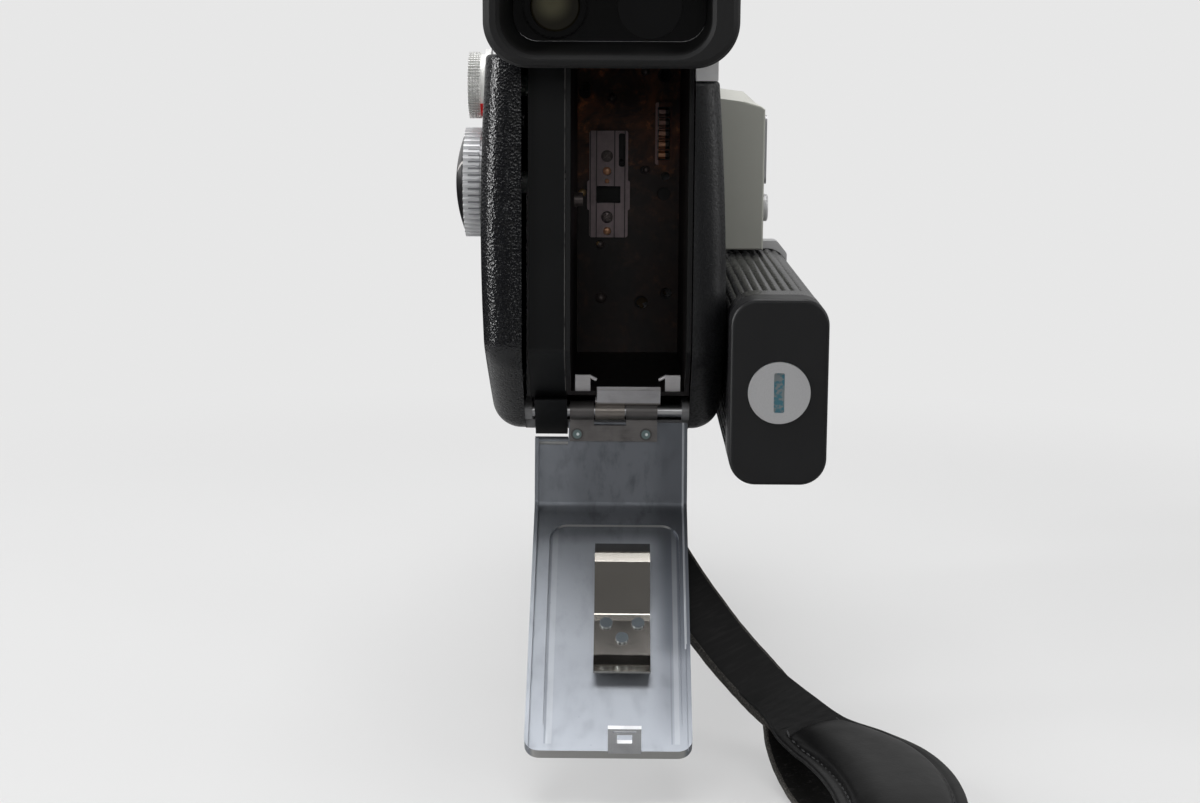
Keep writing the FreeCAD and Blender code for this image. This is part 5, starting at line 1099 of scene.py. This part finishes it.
studio = {"floor": -62.9, "size": 3.0, "pale": (0.8, 0.8, 0.8), "near": 0.22, "far": 0.42, "lift": 0.5,
          "room": 0.08, "glow": 0.45}

lamps = {
    "top_lamp": {"place": (-0.06, 0.0, 0.95), "aim": (0, 0, 0), "size": (0.8, 0.7), "power": 6.0},
    "side_lamp": {"place": (-0.95, -0.15, 0.28), "aim": (0, 0, 0.04), "size": (0.12, 0.8), "power": 5.8},
    "far_lamp": {"place": (0.95, -0.05, 0.35), "aim": (0, 0, 0.03), "size": (0.4, 0.7), "power": 2.0},
    "left_fill": {"place": (-0.74, -0.7, 0.5), "aim": (0, 0, 0.02), "size": (0.3, 0.5), "power": 1.6},
    "right_fill": {"place": (0.74, -0.7, 0.5), "aim": (0, 0, 0.02), "size": (0.3, 0.5), "power": 1.05},
    "front_fill": {"place": (0.0, -1.5, 0.4), "aim": (0, 0, 0.02), "size": (0.5, 0.4), "power": 1.4},
}


def makeFloor():
    half = studio["size"]
    z = studio["floor"] * mm
    corners = [(-half, -half, z), (half, -half, z), (half, half, z), (-half, half, z)]
    floor = addMesh("table", corners, [(0, 1, 2, 3)], [])
    paper = Finish("table_finish", Roughness=0.9)
    paper.set({"Base Color": studio["pale"]})
    x, y, _ = paper.axes()
    away = (x * x + y * y) ** 0.5 * mm
    far = paper.span(away, studio["near"], studio["far"], studio["lift"], 1.0)
    eye = paper.node("ShaderNodeLightPath", output="Is Camera Ray")
    glow = paper.node("ShaderNodeEmission", values={"Color": studio["pale"], "Strength": eye})
    lit = Socket(paper, paper.shader.outputs[0])
    blend = paper.node("ShaderNodeMixShader", values={0: far, 1: lit, 2: glow})
    paper.tree.links.new(blend.output, paper.end.inputs["Surface"])
    floor.data.materials.append(paper.material)


def makeRoom():
    world = bpy.data.worlds.new("room")
    bpy.context.scene.world = world
    world.use_nodes = True
    room = Tree(world.node_tree)
    path = room.node("ShaderNodeLightPath").output.node
    eye = Socket(room, path.outputs["Is Camera Ray"]) + Socket(room, path.outputs["Is Transmission Ray"])
    direction = room.node("ShaderNodeTexCoord", output="Generated")
    back = room.span(room.axes(direction)[1], -0.25, 0.6, studio["room"], studio["glow"])
    dim = room.node("ShaderNodeBackground", values={"Color": (1, 1, 1, 1), "Strength": back})
    pale = room.node("ShaderNodeBackground", values={"Color": (*studio["pale"], 1), "Strength": 1.0})
    mixed = room.node("ShaderNodeMixShader", values={0: eye, 1: dim, 2: pale})
    end = room.tree.nodes.new("ShaderNodeOutputWorld")
    room.tree.links.new(mixed.output, end.inputs["Surface"])


def makeLamps():
    for name, lamp in lamps.items():
        data = bpy.data.lights.new(name, "AREA")
        data.shape = "RECTANGLE"
        data.size, data.size_y = lamp["size"]
        data.energy = lamp["power"]
        made = link(name, data)
        made.location = lamp["place"]
        aim = Vector(lamp["aim"]) - Vector(lamp["place"])
        made.rotation_euler = aim.to_track_quat("-Z", "Y").to_euler()


makeFloor()
makeRoom()
makeLamps()
bpy.context.scene.view_settings.view_transform = "Standard"
print("studio made")
